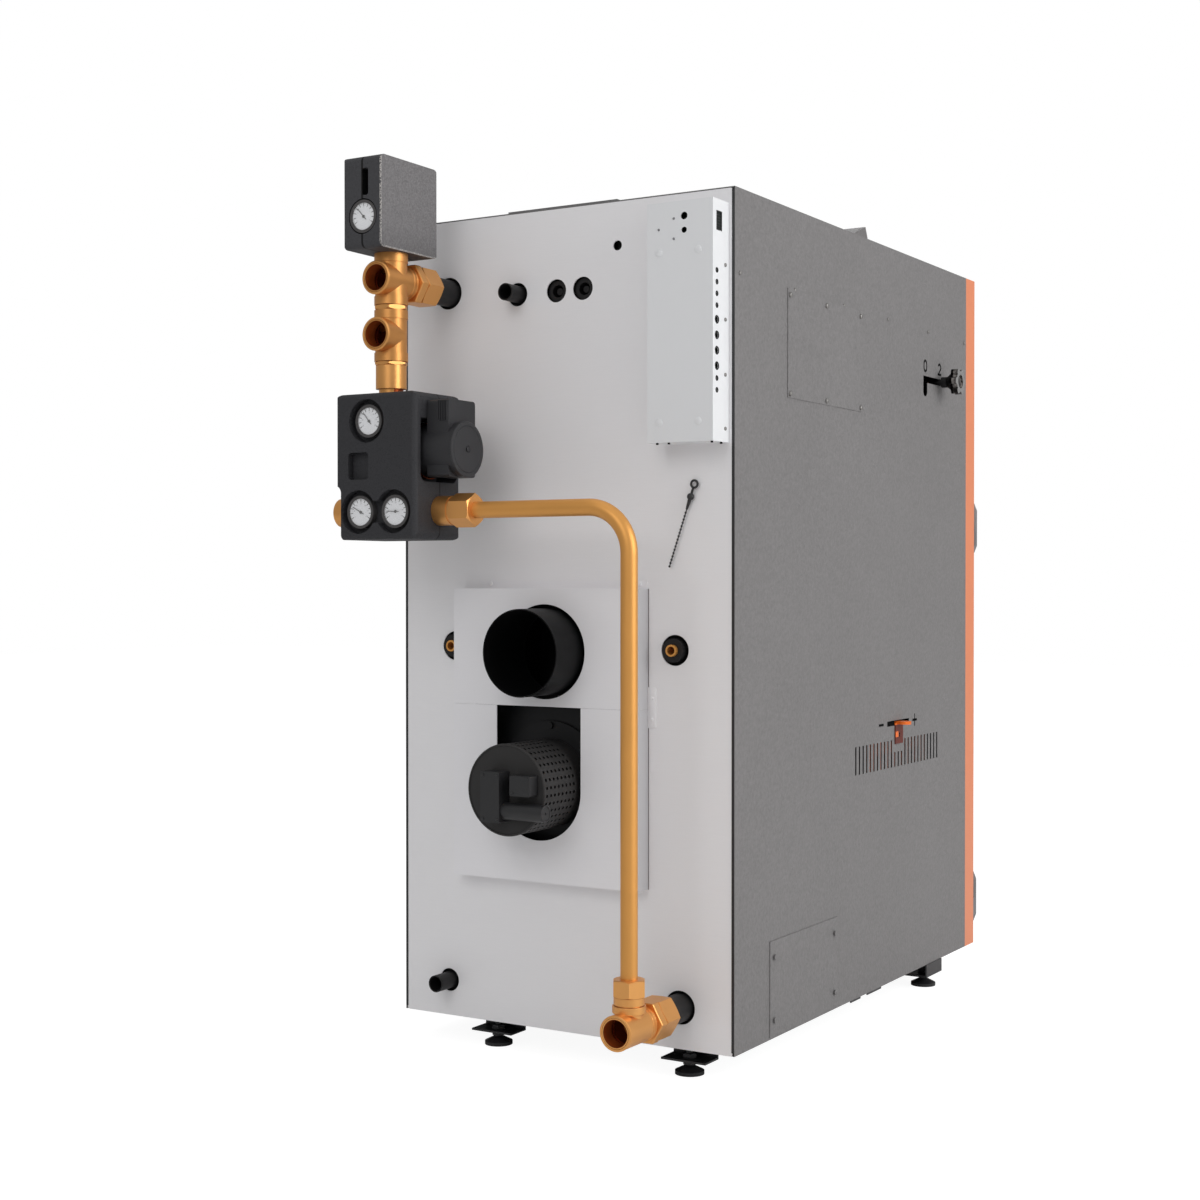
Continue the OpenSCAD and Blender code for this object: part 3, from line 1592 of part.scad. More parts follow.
// Brass cross on the flow axis, carrying the safety group
module flow_cross() {
  low = flow_z - cross_down;
  high = flow_z + safety_z;
  color([0.85, 0.56, 0.3]) place() difference() {
    union() {
      arms(riser_x, flow_z);
      bar_z(low, high, riser_x, pipe_y, brass_d / 2 - step);
      for (z = [low, high - band_len]) bar_z(z, z + band_len, riser_x, pipe_y, band_r);
      bar_z(high, flow_z + cross_top, riser_x, pipe_y, riser_r);
    }
    arm_bores(riser_x, flow_z, steel_y);
    bar_z(low - over, flow_z, riser_x, pipe_y, steel_bore / 2);
    bar_z(flow_z, flow_z + cross_top - riser_bore, riser_x, pipe_y, riser_bore);
  }
}

tee_z = flow_z - tee_drop;
tee_low = tee_z - tee_arm;

module riser_tee() {
  color([0.85, 0.56, 0.3]) place() difference() {
    union() {
      bar_z(tee_low, tee_z + tee_arm, riser_x, pipe_y, brass_d / 2 - step);
      bar_y(pipe_y, pipe_y + arm_out, riser_x, tee_z, brass_d / 2);
      for (z = [tee_low, tee_z + tee_arm - band_len]) bar_z(z, z + band_len, riser_x, pipe_y, band_r);
    }
    bar_z(tee_low - over, tee_z + tee_arm + over, riser_x, pipe_y, steel_bore / 2);
    arm_bores(riser_x, tee_z, pipe_y);
  }
}

// Union nuts, nipples, couplings and compression nuts between the fittings
module pipe_nuts() {
  color([0.83, 0.53, 0.27]) place() {
    nut_y(steel_y - nut_len / 2, steel_y + nut_len, riser_x, flow_z, nut_af, steel_d / 2);
    nut_y(steel_y - nut_len / 2, steel_y + nut_len, -return_x, return_z, nut_af, steel_d / 2);
    nut_z(tee_z + tee_arm, flow_z - cross_down, riser_x, pipe_y, 2 * nipple_r - step, riser_bore);
    nut_z(tee_low - nipple_len, tee_low, riser_x, pipe_y, 2 * nipple_r - step, riser_bore);
    difference() {
      bar_z(tee_low - nipple_len - coupling_len, tee_low - nipple_len, riser_x, pipe_y, coupling_r);
      bar_z(tee_low - nipple_len - coupling_len - over, tee_low, riser_x, pipe_y, riser_bore);
    }
    out_x = riser_x - run_right;
    difference() {
      bar_x(out_x - step * 4, out_x, pipe_y, run_z, run_r - step);
      bar_x(out_x - over * 2, out_x + over, pipe_y, run_z, copper_d / 2);
    }
    translate([out_x - step * 4, pipe_y, run_z]) rotate([0, -90, 0])
      nut(nut_len + ring_len, small_nut_af, copper_d / 2);
    nut_z(return_z + collar_up + ring_len, return_z + collar_up + ring_len + small_nut_len, -return_x, pipe_y,
      small_nut_af, copper_d / 2);
    difference() {
      bar_z(return_z + collar_up, return_z + collar_up + ring_len, -return_x, pipe_y, ring_r);
      bar_z(return_z, return_z + collar_up + over * 4, -return_x, pipe_y, copper_d / 2);
    }
  }
}

// Insulating shell of the pump group
module shell_outline() {
  difference() {
    rounded([shell_x, shell_z], [shell_x + shell_w, shell_top], shell_r);
    patch([shell_x + shell_w - shell_step, shell_z - over],
      [shell_x + shell_w + over, shell_z + shell_step_z - shell_step]);
    translate([shell_x + shell_w, shell_z + shell_step_z - shell_step]) circle(shell_step);
  }
  patch([shell_x + shell_w - 3 * shell_r, shell_z + shell_r],
    [shell_x + shell_w - shell_step, shell_z + 2 * shell_r]);
  translate([shell_x + shell_w - shell_step - shell_r, shell_z + shell_r]) circle(shell_r);
}

module shell_solid() {
  intersection() {
    sheet_xz(shell_y0, shell_y1) shell_outline();
    sheet_xy(shell_z, shell_top) rounded([shell_x, shell_y0], [shell_x + shell_w, shell_y1], shell_edge_r);
    sheet_yz(shell_x, shell_x + shell_w) rounded([shell_y0, shell_z], [shell_y1, shell_top], shell_edge_r);
  }
}

gauges = [
  [riser_x, shell_top - gauge_top], [riser_x + gauge_left_x, shell_z + gauge_low_z],
  [riser_x + gauge_right_x, shell_z + gauge_low_z]
];
recess_y = shell_y1 - recess_depth;
gauge_rim = recess_y + gauge_len;

// Everything that the shell leaves room for
module shell_room() {
  bar_x(riser_x - run_right - over, riser_x + run_left + over, pipe_y, run_z, run_r + epp_play);
  bar_z(run_z, shell_top + over, riser_x, pipe_y, riser_r + epp_play);
  bar_x(riser_x + volute_x0 - head_wall, riser_x + volute_x0 + volute_len + epp_play, pipe_y, pump_z,
    volute_r + epp_play);
  for (p = gauges) {
    bar_y(recess_y, shell_y1 + over, p.x, p.y, recess_d / 2);
    bar_y(pipe_y, recess_y + over, p.x, p.y, pocket_r + epp_play);
  }
  block([riser_x + gauge_right_x, recess_y, shell_z + gauge_low_z - recess_d / 4],
    [riser_x + gauge_left_x, shell_y1 + over, shell_z + gauge_low_z + recess_d / 4]);
  sheet_xz(shell_y1 - square_depth, shell_y1 + over)
    rounded([riser_x + square_x, shell_z + square_z],
      [riser_x + square_x + square_w, shell_z + square_z + square_h], square_r);
  sheet_yz(shell_x - over, shell_x + cavity_x)
    rounded([pipe_y - cavity_y0, shell_top - cavity_z - cavity_h + shell_edge_r * 5],
      [pipe_y - cavity_y0 + cavity_d, shell_top - shell_edge_r * 1.2], shell_r);
}

module pump_shell_front() {
  color([0.21, 0.21, 0.22]) place() difference() {
    shell_solid();
    shell_room();
    block([shell_x - over, shell_y0 - over, shell_z - over],
      [shell_x + shell_w + over, shell_seam + seam_gap / 2, shell_top + over]);
  }
}

module pump_shell_rear() {
  color([0.2, 0.2, 0.21]) place() difference() {
    shell_solid();
    shell_room();
    block([shell_x - over, shell_seam - seam_gap / 2, shell_z - over],
      [shell_x + shell_w + over, shell_y1 + over, shell_top + over]);
  }
}

// Pump body: lower run, riser and volute in one casting
module pump_body() {
  x0 = riser_x + volute_x0;
  riser_top = tee_low - nipple_len - coupling_len;
  color([0.83, 0.53, 0.27]) place() difference() {
    union() {
      bar_x(riser_x - run_right, riser_x + run_left, pipe_y, run_z, run_r);
      bar_z(run_z, riser_top, riser_x, pipe_y, riser_r);
      bar_x(x0, x0 + volute_len, pipe_y, pump_z, volute_r);
    }
    bar_x(riser_x - run_right - over, riser_x - run_r, pipe_y, run_z, copper_d / 2);
    bar_x(riser_x, riser_x + run_left + over, pipe_y, run_z, run_bore);
    bar_z(run_z, riser_top + over, riser_x, pipe_y, riser_bore);
    bar_x(x0 - over, x0 + volute_deep, pipe_y, pump_z, volute_bore);
  }
}

module pump_head() {
  x0 = riser_x + volute_x0;
  color([0.17, 0.17, 0.18]) place() difference() {
    union() {
      bar_x(riser_x - head_end, x0, pipe_y, pump_z, motor_d / 2);
      sheet_yz(riser_x - ebrick_x, riser_x - ebrick_x + ebrick_t)
        rounded([pipe_y - ebrick_y, pump_z - ebrick_z],
          [pipe_y - ebrick_y + ebrick_w, pump_z - ebrick_z + ebrick_h], ebrick_r);
    }
    bar_x(riser_x - head_end + 2 * head_wall, x0 + over, pipe_y, pump_z, head_bore);
    bar_x(riser_x - head_end + head_wall, x0, pipe_y, pump_z, rotor_pin_r + run_fit);
  }
}

module pump_rotor() {
  x0 = riser_x + volute_x0;
  floor_x = riser_x - head_end + 2 * head_wall;
  color([0.5, 0.5, 0.52]) place() {
    bar_x(floor_x + rotor_gap, x0 + vane_gap, pipe_y, pump_z, rotor_r);
    bar_x(floor_x - rotor_pin_len, floor_x + rotor_gap, pipe_y, pump_z, rotor_pin_r);
    bar_x(x0 + vane_gap, x0 + vane_gap + vane_t, pipe_y, pump_z, vane_r);
  }
}

// Three thermometers in the shell and the pressure gauge in the safety group
safety_z0 = flow_z + safety_z;
safety_y1 = safety_y0 + safety_d;
press_y = safety_y1 - press_len;
pressure_z = flow_z + press_z;
press_rim = press_y + press_len - step;

module bezel(p, y0, len) {
  difference() {
    bar_y(y0, y0 + len, p.x, p.y, gauge_d / 2);
    bar_y(y0 + len - dial_back, y0 + len + over, p.x, p.y, gauge_d / 2 - bezel_w);
  }
}

module gauge_bezels() {
  color([0.4, 0.4, 0.42]) place() {
    for (p = gauges) {
      reach = p.x == riser_x ? riser_r : run_r;
      bezel(p, recess_y, gauge_len);
      bar_y(pipe_y + reach + epp_play, recess_y, p.x, p.y, pocket_r);
    }
    bezel([riser_x, pressure_z], press_y, press_len - step);
    bar_y(pipe_y + riser_r + epp_play, press_y, riser_x, pressure_z, pocket_r);
  }
}

module dial(p, y) {
  difference() {
    bar_y(y - dial_back, y - dial_back + dial_t, p.x, p.y, gauge_d / 2 - bezel_w);
    bar_y(y - dial_back - over, y + over, p.x, p.y, needle_pin_r + run_fit);
  }
}

module gauge_dials() {
  color([0.93, 0.93, 0.93]) place() {
    for (p = gauges) dial(p, gauge_rim);
    dial([riser_x, pressure_z], press_rim);
  }
}

// Needle over a dial whose rim stands at y, turned to its reading
module needle(p, y, reading) {
  top = y - dial_back + dial_t;
  color([0.08, 0.08, 0.08]) place() translate([p.x, top, p.y]) rotate([0, reading, 0]) {
    bar_y(needle_gap, needle_gap + needle_t, 0, 0, needle_r);
    bar_y(-needle_pin_len, needle_gap, 0, 0, needle_pin_r);
    block([-needle_w / 2, needle_gap, -needle_tail], [needle_w / 2, needle_gap + needle_t, needle_len]);
  }
}

module riser_needle() {
  needle(gauges[0], gauge_rim, riser_reading);
}

module inlet_needle() {
  needle(gauges[1], gauge_rim, inlet_reading);
}

module outlet_needle() {
  needle(gauges[2], gauge_rim, outlet_reading);
}

module pressure_needle() {
  needle([riser_x, pressure_z], press_rim, pressure_reading);
}

// Insulating box of the safety group, in two halves
module safety_shell() {
  x0 = riser_x + step - safety_w / 2;
  color([0.3, 0.3, 0.31]) place() difference() {
    intersection() {
      sheet_yz(x0, x0 + safety_w)
        rounded([safety_y0, safety_z0], [safety_y1, safety_z0 + safety_h], safety_r);
      sheet_xy(safety_z0, safety_z0 + safety_h)
        rounded([x0, safety_y0], [x0 + safety_w, safety_y1], step * 3);
    }
    block([riser_x + step - seam_gap / 2, safety_y0 - over, safety_z0 - over],
      [riser_x + step + seam_gap / 2, safety_y1 + over, safety_z0 + safety_h + over]);
    bar_z(safety_z0 - over, flow_z + cross_top + epp_play, riser_x, pipe_y, riser_r + epp_play);
    bar_y(press_y, safety_y1 + over, riser_x, pressure_z, gauge_d / 2 + press_play);
    bar_y(pipe_y, safety_y1, riser_x, pressure_z, pocket_r + epp_play);
    sheet_xz(safety_y1 - grip_slot_deep, safety_y1 + over)
      rounded([riser_x + step - grip_slot_w, flow_z + grip_slot_z],
        [riser_x + step, flow_z + grip_slot_z + grip_slot_h], grip_slot_w / 3);
  }
}

// Copper pipe from the pump group down to the return tee
module copper_ring() {
  difference() {
    circle(copper_d / 2);
    circle(copper_d / 2 - copper_wall);
  }
}

module copper_pipe() {
  x1 = riser_x - run_right;
  z0 = return_z + collar_up;
  color([0.86, 0.55, 0.3]) place() translate([0, pipe_y, 0]) {
    translate([-return_x + bend_r, 0, run_z]) rotate([0, 90, 0])
      linear_extrude(x1 + return_x - bend_r) copper_ring();
    translate([-return_x, 0, z0]) linear_extrude(run_z - bend_r - z0) copper_ring();
    translate([-return_x + bend_r, 0, run_z - bend_r]) rotate([90, 0, 0]) rotate([0, 0, 90])
      rotate_extrude(angle = 90) translate([bend_r, 0]) copper_ring();
  }
}

module return_tee() {
  color([0.85, 0.56, 0.3]) place() difference() {
    union() {
      arms(-return_x, return_z);
      bar_z(return_z, return_z + collar_up, -return_x, pipe_y, collar_top_r);
    }
    arm_bores(-return_x, return_z, steel_y);
    bar_z(return_z, return_z + collar_up + over, -return_x, pipe_y, copper_d / 2);
  }
}

base_frame();
levelling_feet();
lever_side_panel();
plain_side_panel();
rear_panel();
top_panel();
cleaning_lid();
flue_cover_upper();
flue_cover_lower();
flue_spigot();
flue_box();
fan_plate();
fan_guard();
fan_motor();
fan_terminal_box();
fan_impeller();
electrical_box();
control_board();
bead_tie();
service_plates();
front_frame();
upper_front_panel();
door_fittings();
front_door();
door_liner();
door_seal();
door_handle();
console_housing();
console_display();
main_switch();
water_jacket();
fuel_chamber_liner();
nozzle_block();
combustion_chamber();
heat_exchanger();
turbulators();
safety_coil();
insulation_wrap();
kindling_rod();
star_knob();
kindling_flap();
air_lever();
water_stubs();
flow_cross();
riser_tee();
pipe_nuts();
pump_shell_front();
pump_shell_rear();
pump_body();
pump_head();
pump_rotor();
gauge_bezels();
gauge_dials();
riser_needle();
inlet_needle();
outlet_needle();
pressure_needle();
safety_shell();
copper_pipe();
return_tee();
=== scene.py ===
import math

import bmesh
import bpy
from mathutils import Matrix, Vector


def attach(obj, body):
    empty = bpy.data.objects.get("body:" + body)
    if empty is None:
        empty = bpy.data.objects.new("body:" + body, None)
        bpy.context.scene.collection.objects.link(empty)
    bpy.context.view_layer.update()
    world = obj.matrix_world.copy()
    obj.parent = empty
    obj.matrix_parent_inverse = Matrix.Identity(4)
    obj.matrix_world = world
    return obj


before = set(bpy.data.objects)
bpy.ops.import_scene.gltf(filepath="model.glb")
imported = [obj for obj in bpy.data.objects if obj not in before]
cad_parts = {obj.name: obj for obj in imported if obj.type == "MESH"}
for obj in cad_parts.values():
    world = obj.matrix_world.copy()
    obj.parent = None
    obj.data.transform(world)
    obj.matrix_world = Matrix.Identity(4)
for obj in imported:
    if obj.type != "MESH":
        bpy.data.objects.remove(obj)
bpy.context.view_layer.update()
bpy.ops.object.select_all(action="DESELECT")

# Casing frame in millimetres: x = 0 on the middle, y = 0 on the rear sheet, z = 0 on the bottom edge
SHIFT_X = 17.5
SHIFT_Y = 469.25
FOOT_H = 50.0

# Casing: outer face of the sides, depth of the painted skin there, screw row and service plate
SIDE_X = 337.0
SKIN_X = 336.8
ROW_Y = (-18.0, -229.0, -439.0, -649.0, -860.0, -1069.0)
ROW_Z = 1290.0
PLATE_Y = (-207.0, -359.0, -513.0)
PLATE_Z = (1279.0, 1108.0)
PLATE_OUT = 1.5
SEAL_X = 334.3
SEAL_Z = 716.0

# Kindling rod at its inner rest, its knob, and the stencilled figures over the slot
ROD_Y = -925.0
ROD_Z = 1192.75
ROD_TRAVEL = 79.0
KNOB_FACE_X = -382.5
KNOB_RIM_X = -373.0
KNOB_BACK_X = -368.1
DIGIT_Z = 1207.75
DIGIT_W = 18.0
DIGIT_H = 24.0
DIGIT_T = 3.0
INK = 2.6

# Air lever, its hanging tag and the signs beside its slot
AIR_Y = -705.0
AIR_Z = 505.0
TAG_X = -337.2
SIGN_OUT = 86.0
SIGN_W = 23.0

# Electrical box: side, face, top and bottom, its screws and studs, ports counted down from the top
BOX_X = -327.0
BOX_FACE_Y = 58.0
BOX_TOP = 1403.0
BOX_BOTTOM = 1010.0
BOX_SCREW_Y = 15.0
BOX_SCREW_Z = (1299.0, 1210.0, 1120.0, 1032.0)
STUD_X = (-227.0, -300.0)
STUD_Z = (1321.0, 1043.0)
FACE_SCREWS = ((-255.0, 1375.0), (-227.0, 1359.0), (-255.0, 1342.0))
PORT_Y = 44.0
SMALL_PORTS = (116.0, 135.0, 154.0, 173.0, 291.0, 310.0)
LARGE_PORTS = (196.0, 221.0, 246.0, 271.0)
PEGS = ((-222.0, 54.5), (-244.0, 54.5), (-323.5, 54.5), (-323.5, 22.0))
STRIP_Y = 36.0
STRIP_Z = 1368.0

# Raised cover: fold at its lever side with painted shade past it, strips of painted shade in the gap there, screws
# over it, tab beside it
COVER_FOLD_X = -173.6
COVER_GAP_X = -174.7
COVER_GAPS = (("cover_shadow_gap", 136.5, 398.5), ("cover_upper_shadow_gap", 83.0, 687.0))
COVER_SCREW_X = (146.5, -158.0)
COVER_SCREW_Z = 778.5
SHEET_T = 1.5
TAB_X = -182.0
TAB_Z = 569.5
TAB_SCREW_Z = (586.0, 550.0)

# Fan: axis, guard and the holes in it; screws of its boxes and the capacitor, sideways from the axis
FAN_X = 26.5
FAN_Z = 431.0
GUARD_R = 77.5
GUARD_OUT = 131.0
HOLE_LAST_Y = 123.5
HOLE_PITCH = 12.0
HOLE_ROWS = 8
HOLE_COLUMNS = 36
TERMINAL_Y = 163.0
TERMINAL_SCREW_X = (-2.5, 26.0)
TERMINAL_SCREW_Z = (385.0, 458.0)
SWITCH_Y = 157.0
SWITCH_SCREWS = ((-59.0, 455.0), (-29.0, 430.0))
CAPACITOR_X = -87.0
CAPACITOR_Y = 145.5
CAPACITOR_Z = 398.0

# Brass: riser with cross and tee, return tee, and the branches that open towards the rear
RISER_X = 240.0
RETURN_X = -235.0
CROSS = (RISER_X, 1300.0)
TEE = (RISER_X, 1204.0)
RETURN = (RETURN_X, 69.5)
BRANCHES = (CROSS, TEE, RETURN)
UNIONS = (CROSS, RETURN)
BARE_Y = 150.0
BRANCH_END_Y = 211.0
UNION_Y = 107.5
NECK_Y = (129.0, 137.5)
BAND_Z = 101.0

# Pump group: middle of the shells, lower run, cheek of foam, motor and its fins
PUMP_Y = 168.0
RUN_END_X = 347.0
RUN_Z = 902.0
CHEEK_LOW = (137.03, 118.2, 1056.0)
CHEEK_HIGH = (178.0, 221.8, 1092.0)
MOTOR_END_X = 82.0
MOTOR_Z = 1004.0
FIN_X = 94.5
FIN_Y = 205.0
FIN_Z = 1068.0
FIN_PITCH = 3.6
FIN_COUNT = 6

# Gauges: middle of each dial, and the y of its face
DIALS = (("pressure", RISER_X, 1398.0), ("riser", RISER_X, 1054.0), ("inlet", 258.0, 900.0), ("outlet", 184.0, 900.0))
DIAL_Y = {"pressure": 245.0, "riser": 231.0, "inlet": 231.0, "outlet": 231.0}


def at(x, y, z):
    """A place of the casing frame, in metres of the part's frame."""
    return Vector(((x + SHIFT_X) / 1000, (y + SHIFT_Y) / 1000, (z + FOOT_H) / 1000))


def mm(value):
    return value / 1000


# Shader trees


class Value:
    """A socket of a shader tree that expressions can be written with."""

    def __init__(self, tree, socket):
        self.tree = tree
        self.socket = socket

    def math(self, operation, *others):
        node = self.tree.nodes.new("ShaderNodeMath")
        node.operation = operation
        for slot, value in enumerate((self,) + others):
            feed(self.tree, node.inputs[slot], value)
        return Value(self.tree, node.outputs[0])

    def flip(self, operation, other):
        """The same maths with the other value first."""
        node = self.tree.nodes.new("ShaderNodeMath")
        node.operation = operation
        feed(self.tree, node.inputs[0], other)
        feed(self.tree, node.inputs[1], self)
        return Value(self.tree, node.outputs[0])

    def __add__(self, other):
        return self.math("ADD", other)

    def __radd__(self, other):
        return self.flip("ADD", other)

    def __sub__(self, other):
        return self.math("SUBTRACT", other)

    def __rsub__(self, other):
        return self.flip("SUBTRACT", other)

    def __mul__(self, other):
        return self.math("MULTIPLY", other)

    def __truediv__(self, other):
        return self.math("DIVIDE", other)

    def __gt__(self, other):
        return self.math("GREATER_THAN", other)

    def __lt__(self, other):
        return self.math("LESS_THAN", other)

    def clamp(self):
        low = self.math("MAXIMUM", 0.0)
        return low.math("MINIMUM", 1.0)


def feed(tree, socket, value):
    if isinstance(value, Value):
        tree.links.new(value.socket, socket)
    else:
        socket.default_value = value


class Finish:
    """One material: a principled surface and the nodes that shade it."""

    def __init__(self, name, **numbers):
        self.material = bpy.data.materials.new(name)
        self.material.use_nodes = True
        self.tree = self.material.node_tree
        self.tree.nodes.clear()
        self.surface = self.tree.nodes.new("ShaderNodeBsdfPrincipled")
        output = self.tree.nodes.new("ShaderNodeOutputMaterial")
        self.tree.links.new(self.surface.outputs[0], output.inputs[0])
        self.set(**numbers)
        place = self.tree.nodes.new("ShaderNodeTexCoord")
        self.place = Value(self.tree, place.outputs["Object"])

    def set(self, **values):
        for name, value in values.items():
            feed(self.tree, self.surface.inputs[name.replace("_", " ")], value)

    def add(self, kind, settings=None, output=0, **values):
        """One node; a socket is named, or numbered as in0, in6."""
        node = self.tree.nodes.new("ShaderNode" + kind)
        for name, value in (settings or {}).items():
            setattr(node, name, value)
        for name, value in values.items():
            numbered = name.startswith("in") and name[2:].isdigit()
            feed(self.tree, node.inputs[int(name[2:]) if numbered else name.replace("_", " ")], value)
        return Value(self.tree, node.outputs[output])

    def noise(self, scale, detail=3.0, rough=0.5, where=None):
        return self.add("TexNoise", Vector=where or self.place, Scale=scale, Detail=detail, Roughness=rough)

    def blend(self, factor, low, high):
        return self.add("Mix", {"data_type": "RGBA"}, output=2, in0=factor, in6=low, in7=high)

    def bump(self, height, distance, strength):
        self.set(Normal=self.add("Bump", Height=height, Distance=distance, Strength=strength))

    def parts(self):
        node = self.tree.nodes.new("ShaderNodeSeparateXYZ")
        feed(self.tree, node.inputs[0], self.place)
        return [Value(self.tree, node.outputs[k]) for k in range(3)]


def linear(red, green, blue):
    """A colour as seen on a screen, in the shader's own scale."""
    out = []
    for level in (red, green, blue):
        share = level / 255
        out.append(share / 12.92 if share <= 0.04045 else ((share + 0.055) / 1.055) ** 2.4)
    return (out[0], out[1], out[2], 1.0)


def shaded(tone, share):
    """A tone made darker or lighter by a share."""
    return tuple(min(1.0, c * share) for c in tone[:3]) + (1.0,)


def near(value, middle, span):
    """One where a value is less than a span away from a middle."""
    return (value - middle).math("ABSOLUTE") < span


def length(u, v):
    """The distance from an axis, out of the two distances across it."""
    return (u * u + v * v).math("SQRT")


# Masks: one where a finish changes, by place


def shade_in_the_bores(f):
    """Inside the branches that open towards the rear, where painted shade goes."""
    bore_r = 22.4
    x, y, z = f.parts()
    inside = y * 0.0
    for branch_x, branch_z in BRANCHES:
        middle = at(branch_x, BARE_Y, branch_z)
        inside = inside + (length(x - middle.x, z - middle.z) < mm(bore_r)) * (y > middle.y)
    return inside.clamp()


def on_the_volute(f):
    """The pump's volute, which the foam leaves open at its side."""
    corner = at(224.0, 0.0, 935.0)
    x, y, z = f.parts()
    return (x < corner.x) * (z > corner.z)


def stencils_and_slot_shade(f):
    """Black filled figures and signs, and painted shade in black on the cut edges and the inner face of the lever
    side's sheet.
    """
    x, y, z = f.parts()
    turn_r = (DIGIT_W - DIGIT_T) / 2
    top_z = DIGIT_H - DIGIT_W / 2
    bow_end = (0.5, 0.866)
    half_stroke, stroke_ink, bleed = 8.0, INK * 1.2, 0.6

    zero = at(0.0, ROD_Y + ROD_TRAVEL, DIGIT_Z)
    rise = z - zero.z
    past_turns = (rise - mm(DIGIT_W / 2)).math("MINIMUM", 0.0) + (rise - mm(top_z)).math("MAXIMUM", 0.0)
    ring = near(length(y - zero.y, past_turns), mm(turn_r), mm(INK))

    two = at(0.0, ROD_Y, DIGIT_Z)
    u = (y - two.y) * -1.0
    rise = z - two.z
    v = rise - mm(top_z)
    bow = near(length(u, v), mm(turn_r), mm(INK)) * (u * bow_end[0] + v * bow_end[1] > 0.0)
    stroke = near(u - rise, -mm(turn_r), mm(stroke_ink)) * near(rise, mm(half_stroke), mm(half_stroke))
    foot = near(rise, mm(DIGIT_T / 2), mm(INK)) * near(u, 0.0, mm(DIGIT_W / 2 + bleed))

    signs = 0.0
    bars = ((SIGN_OUT, SIGN_W, DIGIT_T), (-SIGN_OUT, SIGN_W, DIGIT_T), (-SIGN_OUT, DIGIT_T, SIGN_W))
    for middle_y, wide, high in bars:
        sign = at(0.0, AIR_Y + middle_y, AIR_Z)
        signs = near(y, sign.y, mm(wide / 2 + bleed)) * near(z, sign.z, mm(high / 2 + 2 * bleed)) + signs
    # the last term is painted shade: the sheet's cut edges and inner face, seen through the slots
    return (ring + bow + stroke + foot + signs + (x > at(-SKIN_X, 0.0, 0.0).x)).clamp()


def shade_inside_the_guard(f):
    """Painted shade on the inner face of the fan's guard and on the walls and edges of its holes."""
    edge_r, wall, skin, end_t, rim_h = 3.0, 2.5, 0.3, 0.6, 1.6
    x, y, z = f.parts()
    end = at(FAN_X, GUARD_OUT - end_t, FAN_Z)
    first_y = at(0.0, HOLE_LAST_Y - (HOLE_ROWS - 0.5) * HOLE_PITCH, 0.0).y
    last_y = at(0.0, GUARD_OUT - rim_h, 0.0).y
    away = length(x - end.x, z - end.z)
    step = 2.0 * math.pi / HOLE_COLUMNS
    across = (((x - end.x).math("ARCTAN2", z - end.z) / step).math("FRACT") - 0.5) * step * mm(GUARD_R)
    row_y = at(0.0, HOLE_LAST_Y - HOLE_PITCH / 2, 0.0).y
    along = (((y - row_y) / mm(HOLE_PITCH)).math("FRACT") - 0.5) * mm(HOLE_PITCH)
    edges = (length(across, along) < mm(edge_r)) * (y > first_y) * (y < last_y)
    return ((away < mm(GUARD_R - skin)) * (y < end.y) + edges * (away > mm(GUARD_R - wall))).clamp()


def shade_on_the_tag(f):
    """Painted shade on the air lever's hanging tag under its grip, but for a patch at its side left at the lit tone.
    """
    x, y, z = f.parts()
    half_w, top_drop, patch_drop, patch_w, patch_h = 11.5, 4.0, 18.5, 7.0, 5.5
    corner = at(TAG_X, AIR_Y + half_w, AIR_Z - top_drop)
    patch = near(y, corner.y, mm(patch_w)) * near(z, corner.z - mm(patch_drop), mm(patch_h))
    return (x < corner.x) * (z < corner.z) * (1.0 - patch)


# Finishes

BLACK = linear(8, 8, 8)
# near black, painted shade inside the fan's guard and at its holes
SHADE_BLACK = (0.0024, 0.0024, 0.0024, 1.0)
# dark red-brown, used as painted shade inside the brass bores
DARK_RED_BROWN = (0.2, 0.038, 0.008, 1.0)


def textured_paint(name, tone, dark_where=None):
    """Powder coat with a leather grain of soft lumps and a fine peel over them, black where a mask says so, for print
    and for painted shade.
    """
    leather = 170.0
    f = Finish(name, Specular_IOR_Level=0.45)
    lumps = f.noise(leather, 3.0, 0.55)
    peel = f.noise(leather * 4, 2.0)
    cloud = f.noise(4.0, 3.0)
    grain = (lumps * 1.5 + peel * 0.3 + cloud * 0.3 - 0.55).clamp()
    surface = f.blend(grain, shaded(tone, 0.8), shaded(tone, 1.18))
    if dark_where:
        surface = f.blend(dark_where(f), surface, BLACK)
    f.set(Base_Color=surface)
    f.set(Roughness=0.44 + peel * 0.16)
    f.bump(lumps + peel * 0.15, 0.0014, 0.8)
    return f.material


def smooth_paint(name, tone, rough, gloss=0.5, dark_where=None, dark=SHADE_BLACK):
    """Smooth coat with a faint cloud and peel, and another tone where a mask says so, used for painted shade."""
    f = Finish(name, Specular_IOR_Level=gloss)
    peel = f.noise(160.0, 2.0)
    cloud = f.noise(3.2, 4.0)
    surface = f.blend(cloud, shaded(tone, 0.965), tone)
    if dark_where:
        surface = f.blend(dark_where(f), surface, dark)
    f.set(Base_Color=surface)
    f.set(Roughness=rough - 0.05 + cloud * 0.1)
    f.bump(peel, 0.00005, 0.5)
    return f.material


